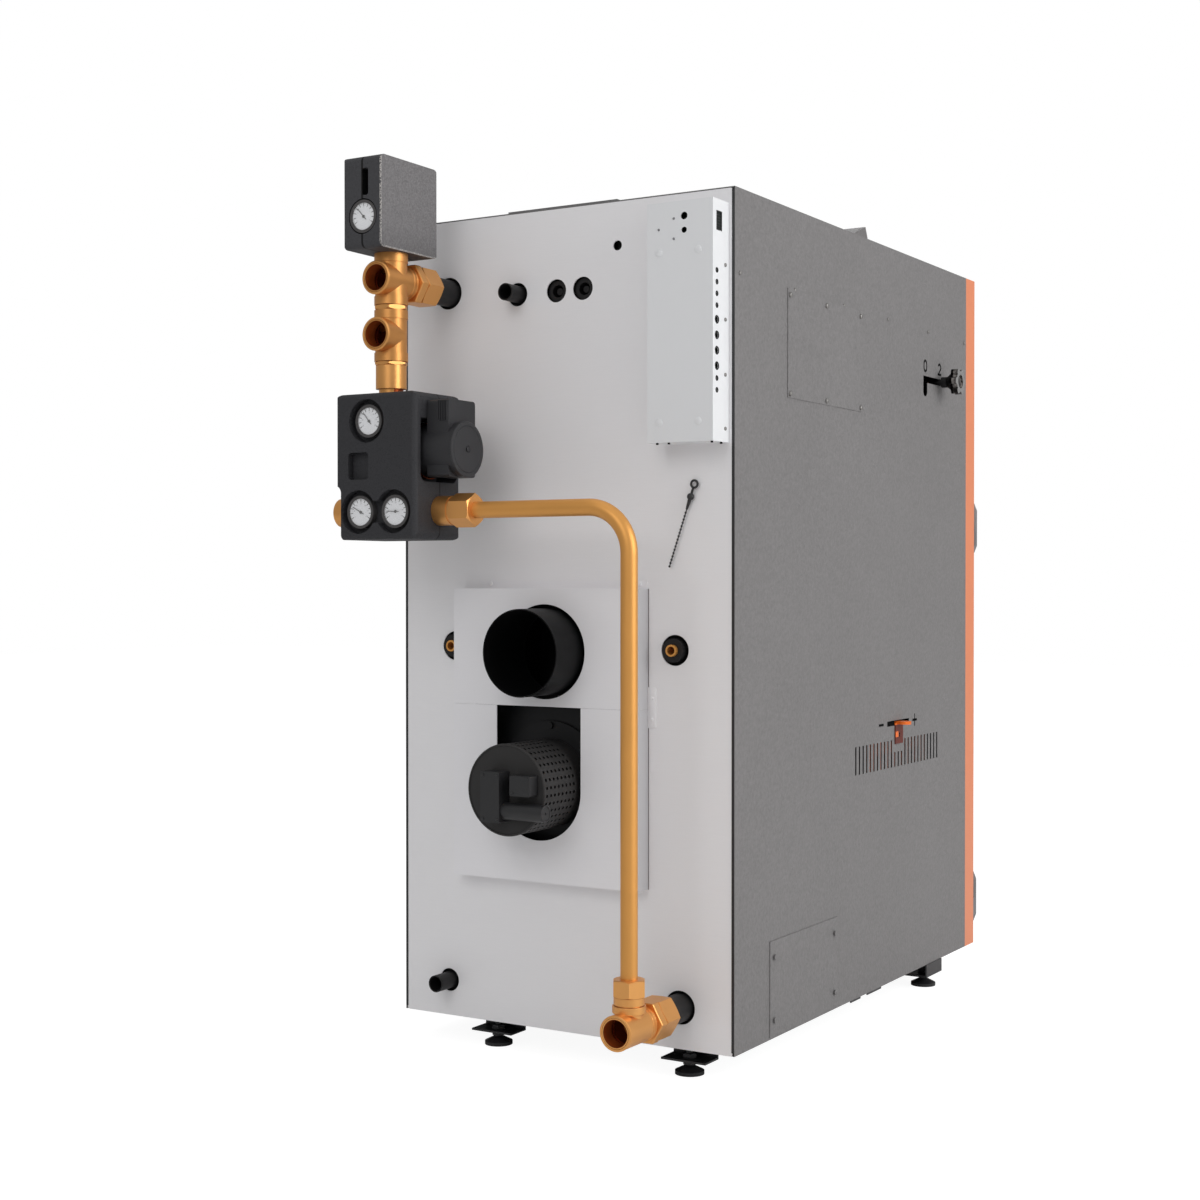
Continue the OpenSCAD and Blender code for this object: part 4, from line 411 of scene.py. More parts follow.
def coated_sheet(name, tone, painted_shade_beyond=None):
    """Zinc coated sheet with a pale lacquer: long rolling marks, a fine mottle, and painted shade on the fold past
    some x.
    """
    f = Finish(name, Specular_IOR_Level=0.4)
    rolled = f.add("Mapping", Vector=f.place, Scale=(1.0, 1.0, 22.0))
    lines = f.noise(26.0, 3.0, 0.6, rolled)
    mottle = f.noise(420.0, 2.0)
    surface = f.blend((lines * 0.6 + mottle * 0.4).clamp(), shaded(tone, 0.94), tone)
    if painted_shade_beyond is not None:
        # past the fold the tone is darkened: painted shade on the cover's sloping edge
        surface = f.blend(f.parts()[0] < at(painted_shade_beyond, 0.0, 0.0).x, surface, shaded(tone, 0.62))
    f.set(Base_Color=surface)
    f.set(Roughness=0.36 + lines * 0.12)
    f.bump(mottle, 0.00004, 0.5)
    return f.material


def metal(name, tone, rough, grain=900.0, shine=1.0, dark_where=None):
    """Turned or drawn metal with fine marks and a little tarnish, and a dark red-brown where a mask says so."""
    f = Finish(name, Metallic=shine)
    marks = f.noise(grain, 3.0)
    tarnish = f.noise(14.0, 5.0, 0.6)
    surface = f.blend(tarnish, shaded(tone, 0.88), tone)
    if dark_where:
        surface = f.blend(dark_where(f), surface, DARK_RED_BROWN)
    f.set(Base_Color=surface)
    f.set(Roughness=(rough - 0.06) + marks * 0.08 + tarnish * 0.08)
    f.bump(marks, 0.00002, 0.35)
    return f.material


def chrome(name):
    """Plated knob: a bright face, sides with painted reflections of a dark room in streaks, and painted shade in
    black at the back.
    """
    f = Finish(name, Metallic=1.0)
    behind = f.parts()[0] > at(KNOB_FACE_X, 0.0, 0.0).x
    # light and dark streaks on the sides are painted reflection
    streaks = (f.noise(90.0, 2.0) * 3.2 - 1.2).clamp()
    sides = f.blend(streaks, linear(44, 42, 42), linear(186, 182, 178))
    # near black towards the back of the sides: painted shade
    sides = f.blend(f.parts()[0] > at(KNOB_RIM_X, 0.0, 0.0).x, sides, linear(18, 17, 17))
    f.set(Base_Color=f.blend(behind, linear(205, 204, 203), sides))
    f.set(Roughness=0.16 + f.noise(500.0, 2.0) * 0.08)
    return f.material


def moulded(name, tone, rough, grain=1400.0, depth=0.00004):
    """Moulded plastic with a fine spark."""
    f = Finish(name)
    spark = f.noise(grain, 2.0)
    cloud = f.noise(9.0, 2.0)
    f.set(Base_Color=f.blend(cloud, shaded(tone, 0.8), tone))
    f.set(Roughness=(rough - 0.06) + spark * 0.14)
    f.bump(spark, depth, 0.6)
    return f.material


def bead_foam(name, tone, joint, depth=0.00022, pale_side=None):
    """Expanded bead foam: rounded beads, a dark line where its halves meet, and a paler grained side face, darker
    towards the bottom, with pale specks at its corner.
    """
    beads = 330.0
    f = Finish(name, Specular_IOR_Level=0.3)
    to_edge = f.add("TexVoronoi", {"feature": "DISTANCE_TO_EDGE"}, Vector=f.place, Scale=beads)
    tint = f.add("TexVoronoi", {"feature": "F1"}, output="Color", Vector=f.place, Scale=beads)
    bead = (to_edge * 9.0).clamp()
    shade = f.add("SeparateColor", Color=tint)
    surface = f.blend((bead * 0.75 + shade * 0.25).clamp(), shaded(tone, 0.62), shaded(tone, 1.12))
    x, y, z = f.parts()
    if pale_side:
        skin, corner_w = 0.7, 2.4
        edge = at(pale_side["x"], pale_side["y"], pale_side["z"])
        grain = (f.noise(300.0, 2.0, 0.5) * 2.6 - 0.8).clamp()
        height = ((z - edge.z) / mm(45.0)).clamp()
        on_side = x < edge.x + mm(skin)
        side_tone = f.blend(grain * 0.65 + height * 0.35, shaded(pale_side["tone"], 0.66), shaded(pale_side["tone"], 1.24))
        surface = f.blend(on_side, surface, side_tone)
        at_the_ends = ((y > edge.y - mm(corner_w)) + (z < edge.z + mm(corner_w))).clamp()
        corner = (x < edge.x + mm(corner_w)) * at_the_ends
        specks = corner * (f.noise(620.0, 2.0) > 0.5)
        surface = f.blend(specks, surface, linear(176, 172, 168))
        bead = bead + grain * on_side * 2.5
    line = near(x if joint["along"] == "x" else y, joint["place"], mm(joint["half"]))
    f.set(Base_Color=f.blend(line, surface, linear(6, 6, 6)))
    f.set(Roughness=0.56 + shade * 0.12)
    f.bump(bead, depth, 0.5)
    return f.material


def mineral(name, tone, scale=60.0, depth=0.0006):
    """Dull grained stuff: refractory, wool, rope, raw steel."""
    f = Finish(name, Roughness=0.9)
    grain = f.noise(scale * 6, 5.0, 0.7)
    patch = f.noise(scale * 0.2, 4.0)
    f.set(Base_Color=f.blend((grain * 0.5 + patch * 0.5).clamp(), shaded(tone, 0.7), tone))
    f.bump(grain, depth, 0.6)
    return f.material


def dial_print():
    """White dials with a fine and a bold scale round the middle of each."""
    fine_step, bold_step, half_turn = math.radians(6), math.radians(24), math.radians(122)
    inner_r, mid_r, outer_r = 16.8, 20.4, 22.6
    fine_edge, bold_edge, faint = 0.4, 0.42, 0.55
    upper_z, lower_z, between_x = 1200, 980, 221
    f = Finish("dial_print", Roughness=0.35)
    x, y, z = f.parts()
    upper = z > at(0, 0, upper_z).z
    middle = (z > at(0, 0, lower_z).z) - upper
    low = 1.0 - (upper + middle)
    left = low * (x > at(between_x, 0, 0).x)
    masks = (upper, middle, left, low - left)
    places = [at(dial_x, 0, dial_z) for _, dial_x, dial_z in DIALS]
    u = x - sum((m * p.x for m, p in zip(masks[1:], places[1:])), masks[0] * places[0].x)
    v = z - sum((m * p.z for m, p in zip(masks[1:], places[1:])), masks[0] * places[0].z)
    radius = length(u, v)
    turn = (u * -1.0).math("ARCTAN2", v)
    inside = turn.math("ABSOLUTE") < half_turn
    fine = ((turn / fine_step).math("FRACT") - 0.5).math("ABSOLUTE") > fine_edge
    bold = ((turn / bold_step).math("FRACT") - 0.5).math("ABSOLUTE") > bold_edge
    ring = (radius > mm(mid_r)) * (radius < mm(outer_r)) * fine
    long_ring = (radius > mm(inner_r)) * (radius < mm(outer_r)) * bold
    ink = ((ring * faint + long_ring) * inside).clamp()
    f.set(Base_Color=f.blend(ink, linear(232, 233, 236), linear(40, 40, 44)))
    return f.material


side_grey = textured_paint("side_paint", linear(116, 114, 114))
lever_side_grey = textured_paint("lever_side_paint", linear(115, 113, 113), dark_where=stencils_and_slot_shade)
top_grey = textured_paint("top_paint", linear(112, 111, 111))
rear_sheet = coated_sheet("rear_sheet", linear(236, 235, 237))
# cover sheet: painted shade past the fold at its lever side
cover_sheet = coated_sheet("cover_sheet", linear(236, 235, 238), painted_shade_beyond=COVER_FOLD_X)
box_white = smooth_paint("white_sheet", linear(226, 227, 229), 0.4)
frame_orange = smooth_paint("frame_orange", linear(220, 132, 92), 0.4)
# lever orange: the dark red-brown on the hanging tag is painted shade under the grip
lever_orange = smooth_paint("lever_orange", linear(230, 110, 38), 0.3, gloss=0.3, dark_where=shade_on_the_tag,
                            dark=linear(92, 26, 7))
black_paint = smooth_paint("black_paint", linear(34, 34, 36), 0.38)
pipe_black = smooth_paint("pipe_black", linear(24, 23, 24), 0.5, gloss=0.3)
# guard steel: black inside the guard and round its holes is painted shade
guard_grey = smooth_paint("guard_steel", linear(52, 51, 51), 0.55, gloss=0.2, dark_where=shade_inside_the_guard)
spigot_black = smooth_paint("spigot_steel", linear(14, 14, 15), 0.5, gloss=0.12)
hole_black = smooth_paint("rubber_black", linear(9, 9, 9), 0.6, gloss=0.2)
# grey of the strips that stand for painted shade in the cover's gap
gap_shade_grey = smooth_paint("gap_shade_grey", linear(120, 114, 114), 0.6)
plate_grey = smooth_paint("fan_plate_steel", linear(22, 22, 24), 0.5, gloss=0.3)
bezel_grey = smooth_paint("bezel_lacquer", linear(72, 70, 70), 0.3)
zinc = metal("zinc_plated", (0.62, 0.62, 0.63, 1.0), 0.3)
dull_zinc = metal("dull_zinc", (0.3, 0.29, 0.28, 1.0), 0.45)
dark_metal = metal("dark_metal", (0.3, 0.3, 0.31, 1.0), 0.38)
# the dark red-brown inside the branch bores of the brass is painted shade
brass = metal("brass", (0.84, 0.41, 0.13, 1.0), 0.36, shine=0.85, dark_where=shade_in_the_bores)
# the riser's cross and tee get a darker copy of brass: painted shade
shaded_riser_brass = metal("shaded_riser_brass", (0.69, 0.32, 0.096, 1.0), 0.38, shine=0.85, dark_where=shade_in_the_bores)
pump_brass = metal("pump_brass", (0.8, 0.39, 0.122, 1.0), 0.36, shine=0.88, dark_where=on_the_volute)
# threads and cones inside the bores, all dark red-brown: painted shade
bore_shade_brass = metal("bore_shade_brass", DARK_RED_BROWN, 0.55)
copper = metal("copper", (0.75, 0.36, 0.092, 1.0), 0.44, 700.0, shine=0.65)
knob_chrome = chrome("knob_chrome")
foam = bead_foam("bead_foam", linear(50, 50, 53), {"along": "y", "place": at(0.0, PUMP_Y, 0.0).y, "half": 1.4})
safety_foam = bead_foam("safety_foam", linear(66, 66, 69),
                        {"along": "x", "place": at(241.0, 0.0, 0.0).x, "half": 2.0}, depth=0.0004,
                        pale_side={"x": 201.5, "y": 246.0, "z": 1345.0, "tone": linear(112, 110, 111)})
plastic = moulded("black_plastic", linear(34, 34, 36), 0.42)
motor_black = moulded("motor_plastic", linear(38, 38, 41), 0.5, 500.0, 0.0002)
needle_black = moulded("needle_black", linear(24, 24, 26), 0.5)
print_grey = moulded("print_grey", linear(126, 126, 130), 0.5)
display = moulded("display_window", linear(18, 19, 22), 0.16)
board_green = moulded("board_green", linear(22, 40, 32), 0.4)
vessel = mineral("vessel_steel", (0.09, 0.078, 0.07, 1.0), 40.0, 0.0003)
brick = mineral("refractory", linear(200, 190, 165))
rope = mineral("glass_rope", linear(205, 200, 190), 120.0)
wool = mineral("black_wool", linear(30, 29, 29), 80.0, 0.001)
dials = dial_print()
glass = Finish("gauge_glass", Base_Color=(1.0, 1.0, 1.0, 1.0), Roughness=0.04, Alpha=0.1).material

NODE_FINISH = {
    "base_frame": black_paint, "levelling_feet": black_paint, "lever_side_panel": lever_side_grey,
    "plain_side_panel": side_grey, "rear_panel": rear_sheet, "top_panel": top_grey, "cleaning_lid": top_grey,
    "flue_cover_upper": cover_sheet, "flue_cover_lower": cover_sheet, "flue_spigot": spigot_black,
    "flue_box": plate_grey, "fan_plate": plate_grey, "fan_guard": guard_grey, "fan_motor": pipe_black,
    "fan_terminal_box": plastic, "fan_impeller": zinc, "electrical_box": box_white, "control_board": board_green,
    "bead_tie": plastic, "service_plates": side_grey, "front_frame": frame_orange, "upper_front_panel": side_grey,
    "door_fittings": dark_metal, "front_door": side_grey, "door_liner": brick, "door_seal": rope,
    "door_handle": plastic, "console_housing": side_grey, "console_display": display, "main_switch": plastic,
    "water_jacket": vessel, "fuel_chamber_liner": vessel, "nozzle_block": brick, "combustion_chamber": brick,
    "heat_exchanger": vessel, "turbulators": vessel, "safety_coil": copper, "insulation_wrap": wool,
    "kindling_rod": pipe_black, "star_knob": knob_chrome, "kindling_flap": vessel, "air_lever": lever_orange,
    "water_stubs": pipe_black, "flow_cross": shaded_riser_brass, "riser_tee": shaded_riser_brass, "pipe_nuts": brass,
    "pump_shell_front": foam, "pump_shell_rear": foam, "pump_body": pump_brass, "pump_head": motor_black,
    "pump_rotor": zinc, "gauge_bezels": bezel_grey, "gauge_dials": dials, "riser_needle": needle_black,
    "inlet_needle": needle_black, "outlet_needle": needle_black, "pressure_needle": needle_black,
    "safety_shell": safety_foam, "copper_pipe": copper, "return_tee": brass,
}
for name, finish in NODE_FINISH.items():
    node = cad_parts[name]
    node.data.materials.clear()
    node.data.materials.append(finish)

# Pieces: each is shaped at the origin along +z, then set in its place


def begin(name, kind, **sizes):
    """One primitive on its own, the start of a piece."""
    bpy.ops.object.select_all(action="DESELECT")
    getattr(bpy.ops.mesh, "primitive_" + kind + "_add")(**sizes)
    piece = bpy.context.object
    piece.name = name
    return piece


def rod(name, radius, low, high, sides=32):
    return begin(name, "cylinder", vertices=sides, radius=mm(radius), depth=mm(high - low),
                 location=(0.0, 0.0, mm(low + high) / 2))


def slab(name, low, high):
    piece = begin(name, "cube", size=1.0)
    middle = [mm(a + b) / 2 for a, b in zip(low, high)]
    spread = [mm(b - a) for a, b in zip(low, high)]
    piece.data.transform(Matrix.Translation(middle) @ Matrix.Diagonal(spread + [1.0]))
    return piece


def choose(piece, faces=None, edges=None):
    """Opens a piece for editing and selects faces by middle and normal, or edges by their ends, in mm."""
    if piece.mode != "EDIT":
        bpy.ops.object.mode_set(mode="EDIT")
    bpy.ops.mesh.select_mode(type="FACE" if faces else "EDGE")
    bpy.ops.mesh.select_all(action="DESELECT")
    mesh = bmesh.from_edit_mesh(piece.data)
    for face in mesh.faces if faces else []:
        if faces(face.calc_center_median() * 1000, face.normal):
            face.select_set(True)
    for edge in mesh.edges if edges else []:
        if edges(edge.verts[0].co * 1000, edge.verts[1].co * 1000):
            edge.select_set(True)
    bmesh.update_edit_mesh(piece.data)


def inset(width, depth=0.0):
    bpy.ops.mesh.inset(thickness=mm(width), depth=mm(depth))


def push(z):
    """Extrudes the chosen faces along z."""
    bpy.ops.mesh.extrude_region_move(TRANSFORM_OT_translate={"value": (0.0, 0.0, mm(z))})


def round_off(width, segments=2):
    bpy.ops.mesh.bevel(offset=mm(width), segments=segments, affect="EDGES")


def close():
    bpy.ops.object.mode_set(mode="OBJECT")


def soften(piece, width, segments=2):
    """Rounds every sharp edge of a piece."""
    bevel = piece.modifiers.new("edge", "BEVEL")
    bevel.width = mm(width)
    bevel.segments = segments
    bevel.limit_method = "ANGLE"
    bevel.angle_limit = math.radians(40.0)
    bpy.context.view_layer.objects.active = piece
    bpy.ops.object.modifier_apply(modifier=bevel.name)


def turned(name, profile, sides=48):
    """A ring or cap turned round z: its profile is a closed line of radius and height."""
    radius, height = profile[0]
    piece = begin(name, "circle", vertices=sides, radius=mm(radius), location=(0.0, 0.0, mm(height)))
    bpy.ops.object.transform_apply(location=True)
    bpy.ops.object.mode_set(mode="EDIT")
    bpy.ops.mesh.select_mode(type="EDGE")
    bpy.ops.mesh.select_all(action="SELECT")
    for wide, high in profile[1:] + profile[:1]:
        push(high - height)
        share = wide / radius
        bpy.ops.transform.resize(value=(share, share, 1.0), center_override=(0.0, 0.0, mm(high)))
        radius, height = wide, high
    bpy.ops.mesh.select_all(action="SELECT")
    bpy.ops.mesh.remove_doubles(threshold=mm(0.01))
    bpy.ops.mesh.normals_make_consistent(inside=False)
    close()
    return piece


TURNS = {
    "+z": Matrix.Identity(3), "-z": Matrix(((1, 0, 0), (0, -1, 0), (0, 0, -1))),
    "+y": Matrix(((-1, 0, 0), (0, 0, 1), (0, 1, 0))),
    "-x": Matrix(((0, 0, -1), (-1, 0, 0), (0, 1, 0))), "+x": Matrix(((0, 0, 1), (1, 0, 0), (0, 1, 0))),
}


def settle(piece, finish, places, facing="+z", body="casing", smooth=35.0, turn=0.0):
    """Copies a finished piece to its places, one mesh each, and gives the copies finish and body."""
    if piece.mode == "EDIT":
        close()
    bpy.ops.object.select_all(action="DESELECT")
    piece.select_set(True)
    bpy.context.view_layer.objects.active = piece
    bpy.ops.object.transform_apply(location=True, rotation=True, scale=True)
    if smooth:
        bpy.ops.object.shade_smooth_by_angle(angle=math.radians(smooth))
    piece.data.materials.clear()
    piece.data.materials.append(finish)
    plain_mesh = piece.data.copy()
    spin = Matrix.Rotation(math.radians(turn), 3, "Z")
    for number, place in enumerate(places):
        copy = piece
        if number:
            copy = bpy.data.objects.new(piece.name + "_%d" % (number + 1), plain_mesh.copy())
            bpy.context.collection.objects.link(copy)
        copy.data.transform(Matrix.Translation(at(*place)) @ (TURNS[facing] @ spin).to_4x4())
        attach(copy, body)


def pan_screw(name, radius, height):
    """Round head with a turned-in socket."""
    piece = rod(name, radius, 0.0, height, 20)
    choose(piece, faces=lambda m, n: n.z > 0.9)
    round_off(height * 0.55, 3)
    choose(piece, faces=lambda m, n: n.z > 0.9 and m.z > height * 0.95)
    inset(radius * 0.22)
    push(-height * 0.5)
    bpy.ops.transform.resize(value=(0.7, 0.7, 1.0), center_override=(0.0, 0.0, mm(height * 0.5)))
    close()
    return piece


def hex_bolt(name, flats, height):
    """Six-sided head with a turned top and a collar under it."""
    piece = rod(name, flats / math.sqrt(3), 0.0, height, 6)
    choose(piece, faces=lambda m, n: n.z > 0.9)
    inset(flats * 0.06, height * 0.12)
    choose(piece, faces=lambda m, n: n.z > 0.9 and m.z > height)
    inset(flats * 0.12, -height * 0.08)
    close()
    return piece


# Screws of the side panels and of the upper service plate
row_screw = pan_screw("panel_screw", 3.4, 2.6)
settle(row_screw, dull_zinc, [(-SIDE_X, y, ROW_Z) for y in ROW_Y], "-x")
far_screw = pan_screw("far_panel_screw", 3.4, 2.6)
settle(far_screw, dull_zinc, [(SIDE_X, y, ROW_Z) for y in ROW_Y], "+x")
plate_screw = pan_screw("plate_screw", 4.6, 3.6)
settle(plate_screw, dull_zinc, [(-SIDE_X - PLATE_OUT, y, z) for y in PLATE_Y for z in PLATE_Z], "-x")

# Electrical box: screws in its side, studs and small screws in its face, rings in its ports
box_screw = pan_screw("box_side_screw", 3.2, 1.8)
settle(box_screw, dull_zinc, [(BOX_X, BOX_SCREW_Y, z) for z in BOX_SCREW_Z], "-x")
stud = rod("box_stud", 6.4, 0.0, 0.8, 32)
choose(stud, faces=lambda m, n: n.z > 0.9)
round_off(0.5, 2)
settle(stud, box_white, [(x, BOX_FACE_Y, z) for x in STUD_X for z in STUD_Z], "+y")


def grommet(name, inner, outer, drops):
    profile = [(inner, -0.4), (outer - 0.3, -0.4), (outer, 0.0), (outer - 0.5, 0.7), (inner + 0.4, 0.9), (inner, 0.5)]
    ring = turned(name, profile, 28)
    settle(ring, hole_black, [(BOX_X, PORT_Y, BOX_TOP - drop) for drop in drops], "-x")


grommet("cable_grommet", 2.5, 4.6, SMALL_PORTS)
grommet("large_grommet", 5.1, 7.1, LARGE_PORTS)
face_screw = pan_screw("box_face_screw", 2.1, 1.2)
settle(face_screw, dark_metal, [(x, BOX_FACE_Y, z) for x, z in FACE_SCREWS], "+y")

# Pegs under the box, and the socket strip in its cut-out
peg = rod("box_peg", 2.2, 0.0, 3.0, 16)
soften(peg, 0.5, 2)
settle(peg, hole_black, [(x, y, BOX_BOTTOM) for x, y in PEGS], "-z")
strip = slab("socket_strip", (-9.6, -15.6, -2.0), (9.6, 15.6, 0.2))
choose(strip, faces=lambda m, n: n.z > 0.9)
inset(1.4)
push(-1.2)
bpy.ops.mesh.subdivide(number_cuts=5)
choose(strip, faces=lambda m, n: n.z > 0.9 and abs(m.x) < 8 and m.z < -0.5)
bpy.ops.mesh.inset(thickness=mm(0.5), use_individual=True)
push(-0.6)
settle(strip, plastic, [(BOX_X, STRIP_Y, STRIP_Z)], "-x", smooth=0)

# Cover: screws in the strip over it, grey strips of painted shade in the gap at its fold, tab with two screws beside
# it
strip_screw = pan_screw("cover_screw", 4.2, 1.6)
settle(strip_screw, rear_sheet, [(x, SHEET_T, COVER_SCREW_Z) for x in COVER_SCREW_X], "+y")
for name, half, middle_z in COVER_GAPS:
    gap = slab(name, (-0.55, -half, 0.0), (0.55, half, 0.5))
    settle(gap, gap_shade_grey, [(COVER_GAP_X, 0.0, middle_z)], "+y", smooth=0)
tab = slab("cover_tab", (-8.0, -34.5, 0.0), (8.0, 34.5, SHEET_T))
choose(tab, edges=lambda a, b: a.x > 7 and b.x > 7 and abs(a.z - b.z) > 1)
round_off(4.0, 4)
close()
soften(tab, 0.3, 2)
settle(tab, rear_sheet, [(TAB_X, 0.0, TAB_Z)], "+y")
tab_screw = pan_screw("tab_screw", 3.0, 1.8)
settle(tab_screw, rear_sheet, [(TAB_X, SHEET_T, z) for z in TAB_SCREW_Z], "+y")

# Seals between the rear sheet and the sides
joint_seal = slab("panel_joint_seal", (-2.5, -710.0, 0.0), (2.5, 710.0, 0.6))
soften(joint_seal, 0.25, 1)
settle(joint_seal, plastic, [(side * SEAL_X, 0.0, SEAL_Z) for side in (-1, 1)], "+y", smooth=0)

# Fan: rolled rim of the guard, screws of the boxes, end cap of the capacitor
rim = turned("guard_rim", [(74.6, -2.4), (77.9, -2.4), (78.3, -1.2), (77.9, 0.2), (76.7, 1.2), (74.8, 1.4),
                           (74.0, 0.2)], 96)
settle(rim, guard_grey, [(FAN_X, GUARD_OUT, FAN_Z)], "+y")
lid_screw = pan_screw("terminal_screw", 2.6, 1.6)
settle(lid_screw, plastic, [(FAN_X + x, TERMINAL_Y, z) for x in TERMINAL_SCREW_X for z in TERMINAL_SCREW_Z],
       "+y")
box_lid_screw = pan_screw("switch_screw", 2.4, 1.5)
settle(box_lid_screw, plastic, [(FAN_X + x, SWITCH_Y, z) for x, z in SWITCH_SCREWS], "+y")
end_cap = turned("capacitor_cap", [(2.0, 0.0), (14.6, 0.0), (14.9, 0.8), (14.6, 2.2), (12.6, 2.6), (11.8, 1.4),
                                   (2.0, 1.2)], 40)
settle(end_cap, plastic, [(FAN_X + CAPACITOR_X, CAPACITOR_Y, CAPACITOR_Z)], "-x")

# Knob: cone between the rod's collar and the knob
boss = turned("knob_boss", [(7.0, 0.0), (19.6, 0.0), (20.4, 0.8), (19.8, 2.2), (11.6, 11.4), (7.0, 11.8)], 40)
settle(boss, hole_black, [(KNOB_BACK_X, ROD_Y, ROD_Z)], "+x", body="kindling_rod")


def thread(name, radius, depth):
    """Cut thread in a bore: a sleeve with a toothed inner line."""
    turns, pitch = 10, 2.3
    line = [(radius - 0.02, 0.0)]
    for k in range(turns):
        line += [(radius - depth * 0.2, -pitch * k), (radius - depth, -pitch * (k + 0.5))]
    line += [(radius - depth * 0.2, -pitch * turns), (radius - 0.02, -pitch * turns)]
    return turned(name, line, 56)


# Brass: threads, cones and lips of the open ends, rims and neck rings of the unions, band of the return tee
# threads and cones inside the bores carry painted shade in dark red-brown
arm_thread = thread("arm_thread", 22.0, 1.3)
settle(arm_thread, bore_shade_brass, [(x, BRANCH_END_Y - 1.0, z) for x, z in BRANCHES], "+y")
side_thread = thread("return_thread", 20.0, 1.2)
settle(side_thread, bore_shade_brass, [(RUN_END_X, PUMP_Y, RUN_Z)], "+x")
arm_lip = turned("arm_lip", [(28.4, -2.6), (28.9, -1.8), (28.7, -0.2), (27.6, 0.5), (25.4, 0.5), (24.6, -0.7),
                             (28.0, -0.7)], 64)
settle(arm_lip, brass, [(x, BRANCH_END_Y, z) for x, z in BRANCHES], "+y")
bore_cone = turned("bore_cone", [(22.0, -0.9), (24.8, -0.9), (24.8, 0.1), (22.0, -0.5)], 64)
settle(bore_cone, bore_shade_brass, [(x, BRANCH_END_Y, z) for x, z in BRANCHES], "+y")
union = rod("union_front", 37.6, 0.0, 18.0, 6)
soften(union, 1.6, 2)
settle(union, brass, [(x, UNION_Y, z) for x, z in UNIONS], "+y", smooth=0, turn=30.0)
neck_ring = turned("neck_ring", [(28.3, -1.4), (29.1, -1.0), (29.4, 0.0), (29.1, 1.0), (28.3, 1.4)], 56)
settle(neck_ring, brass, [(x, y, z) for x, z in UNIONS for y in NECK_Y], "+y")
collar_band = turned("collar_band", [(21.0, -6.0), (26.4, -6.0), (27.2, -5.0), (27.2, 5.0), (26.4, 6.0),
                                     (21.0, 6.0)], 64)
settle(collar_band, brass, [(RETURN_X, PUMP_Y, BAND_Z)])

# Pump: cheek of foam over the motor, finned side of the electronics, cap and plug on the motor's end
cheek = slab("shell_cheek", CHEEK_LOW, CHEEK_HIGH)
choose(cheek, edges=lambda a, b: max(a.z, b.z) < CHEEK_LOW[2] + 1)
round_off(2.5, 3)
settle(cheek, foam, [(0.0, 0.0, 0.0)])
fin = slab("pump_fin", (-0.9, -17.0, -0.6), (0.9, 17.0, 1.8))
choose(fin, edges=lambda a, b: a.z > 1 and b.z > 1 and abs(a.y - b.y) > 5)
round_off(0.5, 2)
settle(fin, motor_black, [(FIN_X + FIN_PITCH * k, FIN_Y, FIN_Z) for k in range(FIN_COUNT)], "+y")
cap = turned("motor_cap", [(1.2, -0.5), (46.2, -0.5), (47.0, 0.2), (47.0, 1.6), (46.0, 2.6), (40.0, 3.0), (39.4, 2.4),
                           (38.8, 3.0), (6.4, 3.4), (6.0, 2.4), (1.2, 2.4)], 80)
settle(cap, motor_black, [(MOTOR_END_X, PUMP_Y, MOTOR_Z)], "-x")
plug = hex_bolt("motor_plug", 8.0, 3.2)
settle(plug, motor_black, [(MOTOR_END_X - 1.2, PUMP_Y, MOTOR_Z)], "-x")

# Gauges: figures of each dial and the glass over it
PRESSURES = ("0", "1", "2", "3", "4")
DEGREES = ("0", "20", "40", "60", "80", "100", "120")
FIGURE_H = 3.0
FIGURE_R = 14.6
SCALE_START = -120.0
SCALE_TURN = 240.0
FIGURE_DROP = 1.97


def figures(name, words, place):
    """Figures of one dial, in a ring from lower left to lower right as seen from behind."""
    made = []
    for k, word in enumerate(words):
        angle = math.radians(SCALE_START + SCALE_TURN * k / (len(words) - 1))
        bpy.ops.object.select_all(action="DESELECT")
        bpy.ops.object.text_add()
        text = bpy.context.object
        text.data.body = word
        text.data.align_x = "CENTER"
        text.data.align_y = "CENTER"
        text.data.size = mm(FIGURE_H)
        text.data.resolution_u = 3
        bpy.ops.object.convert(target="MESH")
        text = bpy.context.object
        out = mm(FIGURE_R) * Vector((math.sin(angle), math.cos(angle), 0.0))
        text.data.transform(Matrix.Translation(out))
        made.append(text)
    bpy.ops.object.select_all(action="DESELECT")
    for text in made:
        text.select_set(True)
    bpy.context.view_layer.objects.active = made[0]
    bpy.ops.object.join()
    piece = bpy.context.object
    piece.name = name + "_figures"
    settle(piece, print_grey, [place], "+y", smooth=0)


lens = turned("gauge_lens", [(0.4, 0.6), (22.8, 0.0), (22.8, -0.5), (0.4, -0.1)], 48)
for dial, x, z in DIALS:
    figures(dial, PRESSURES if dial == "pressure" else DEGREES, (x, DIAL_Y[dial] - FIGURE_DROP, z))
settle(lens, glass, [(x, DIAL_Y[dial] - 0.2, z) for dial, x, z in DIALS], "+y")

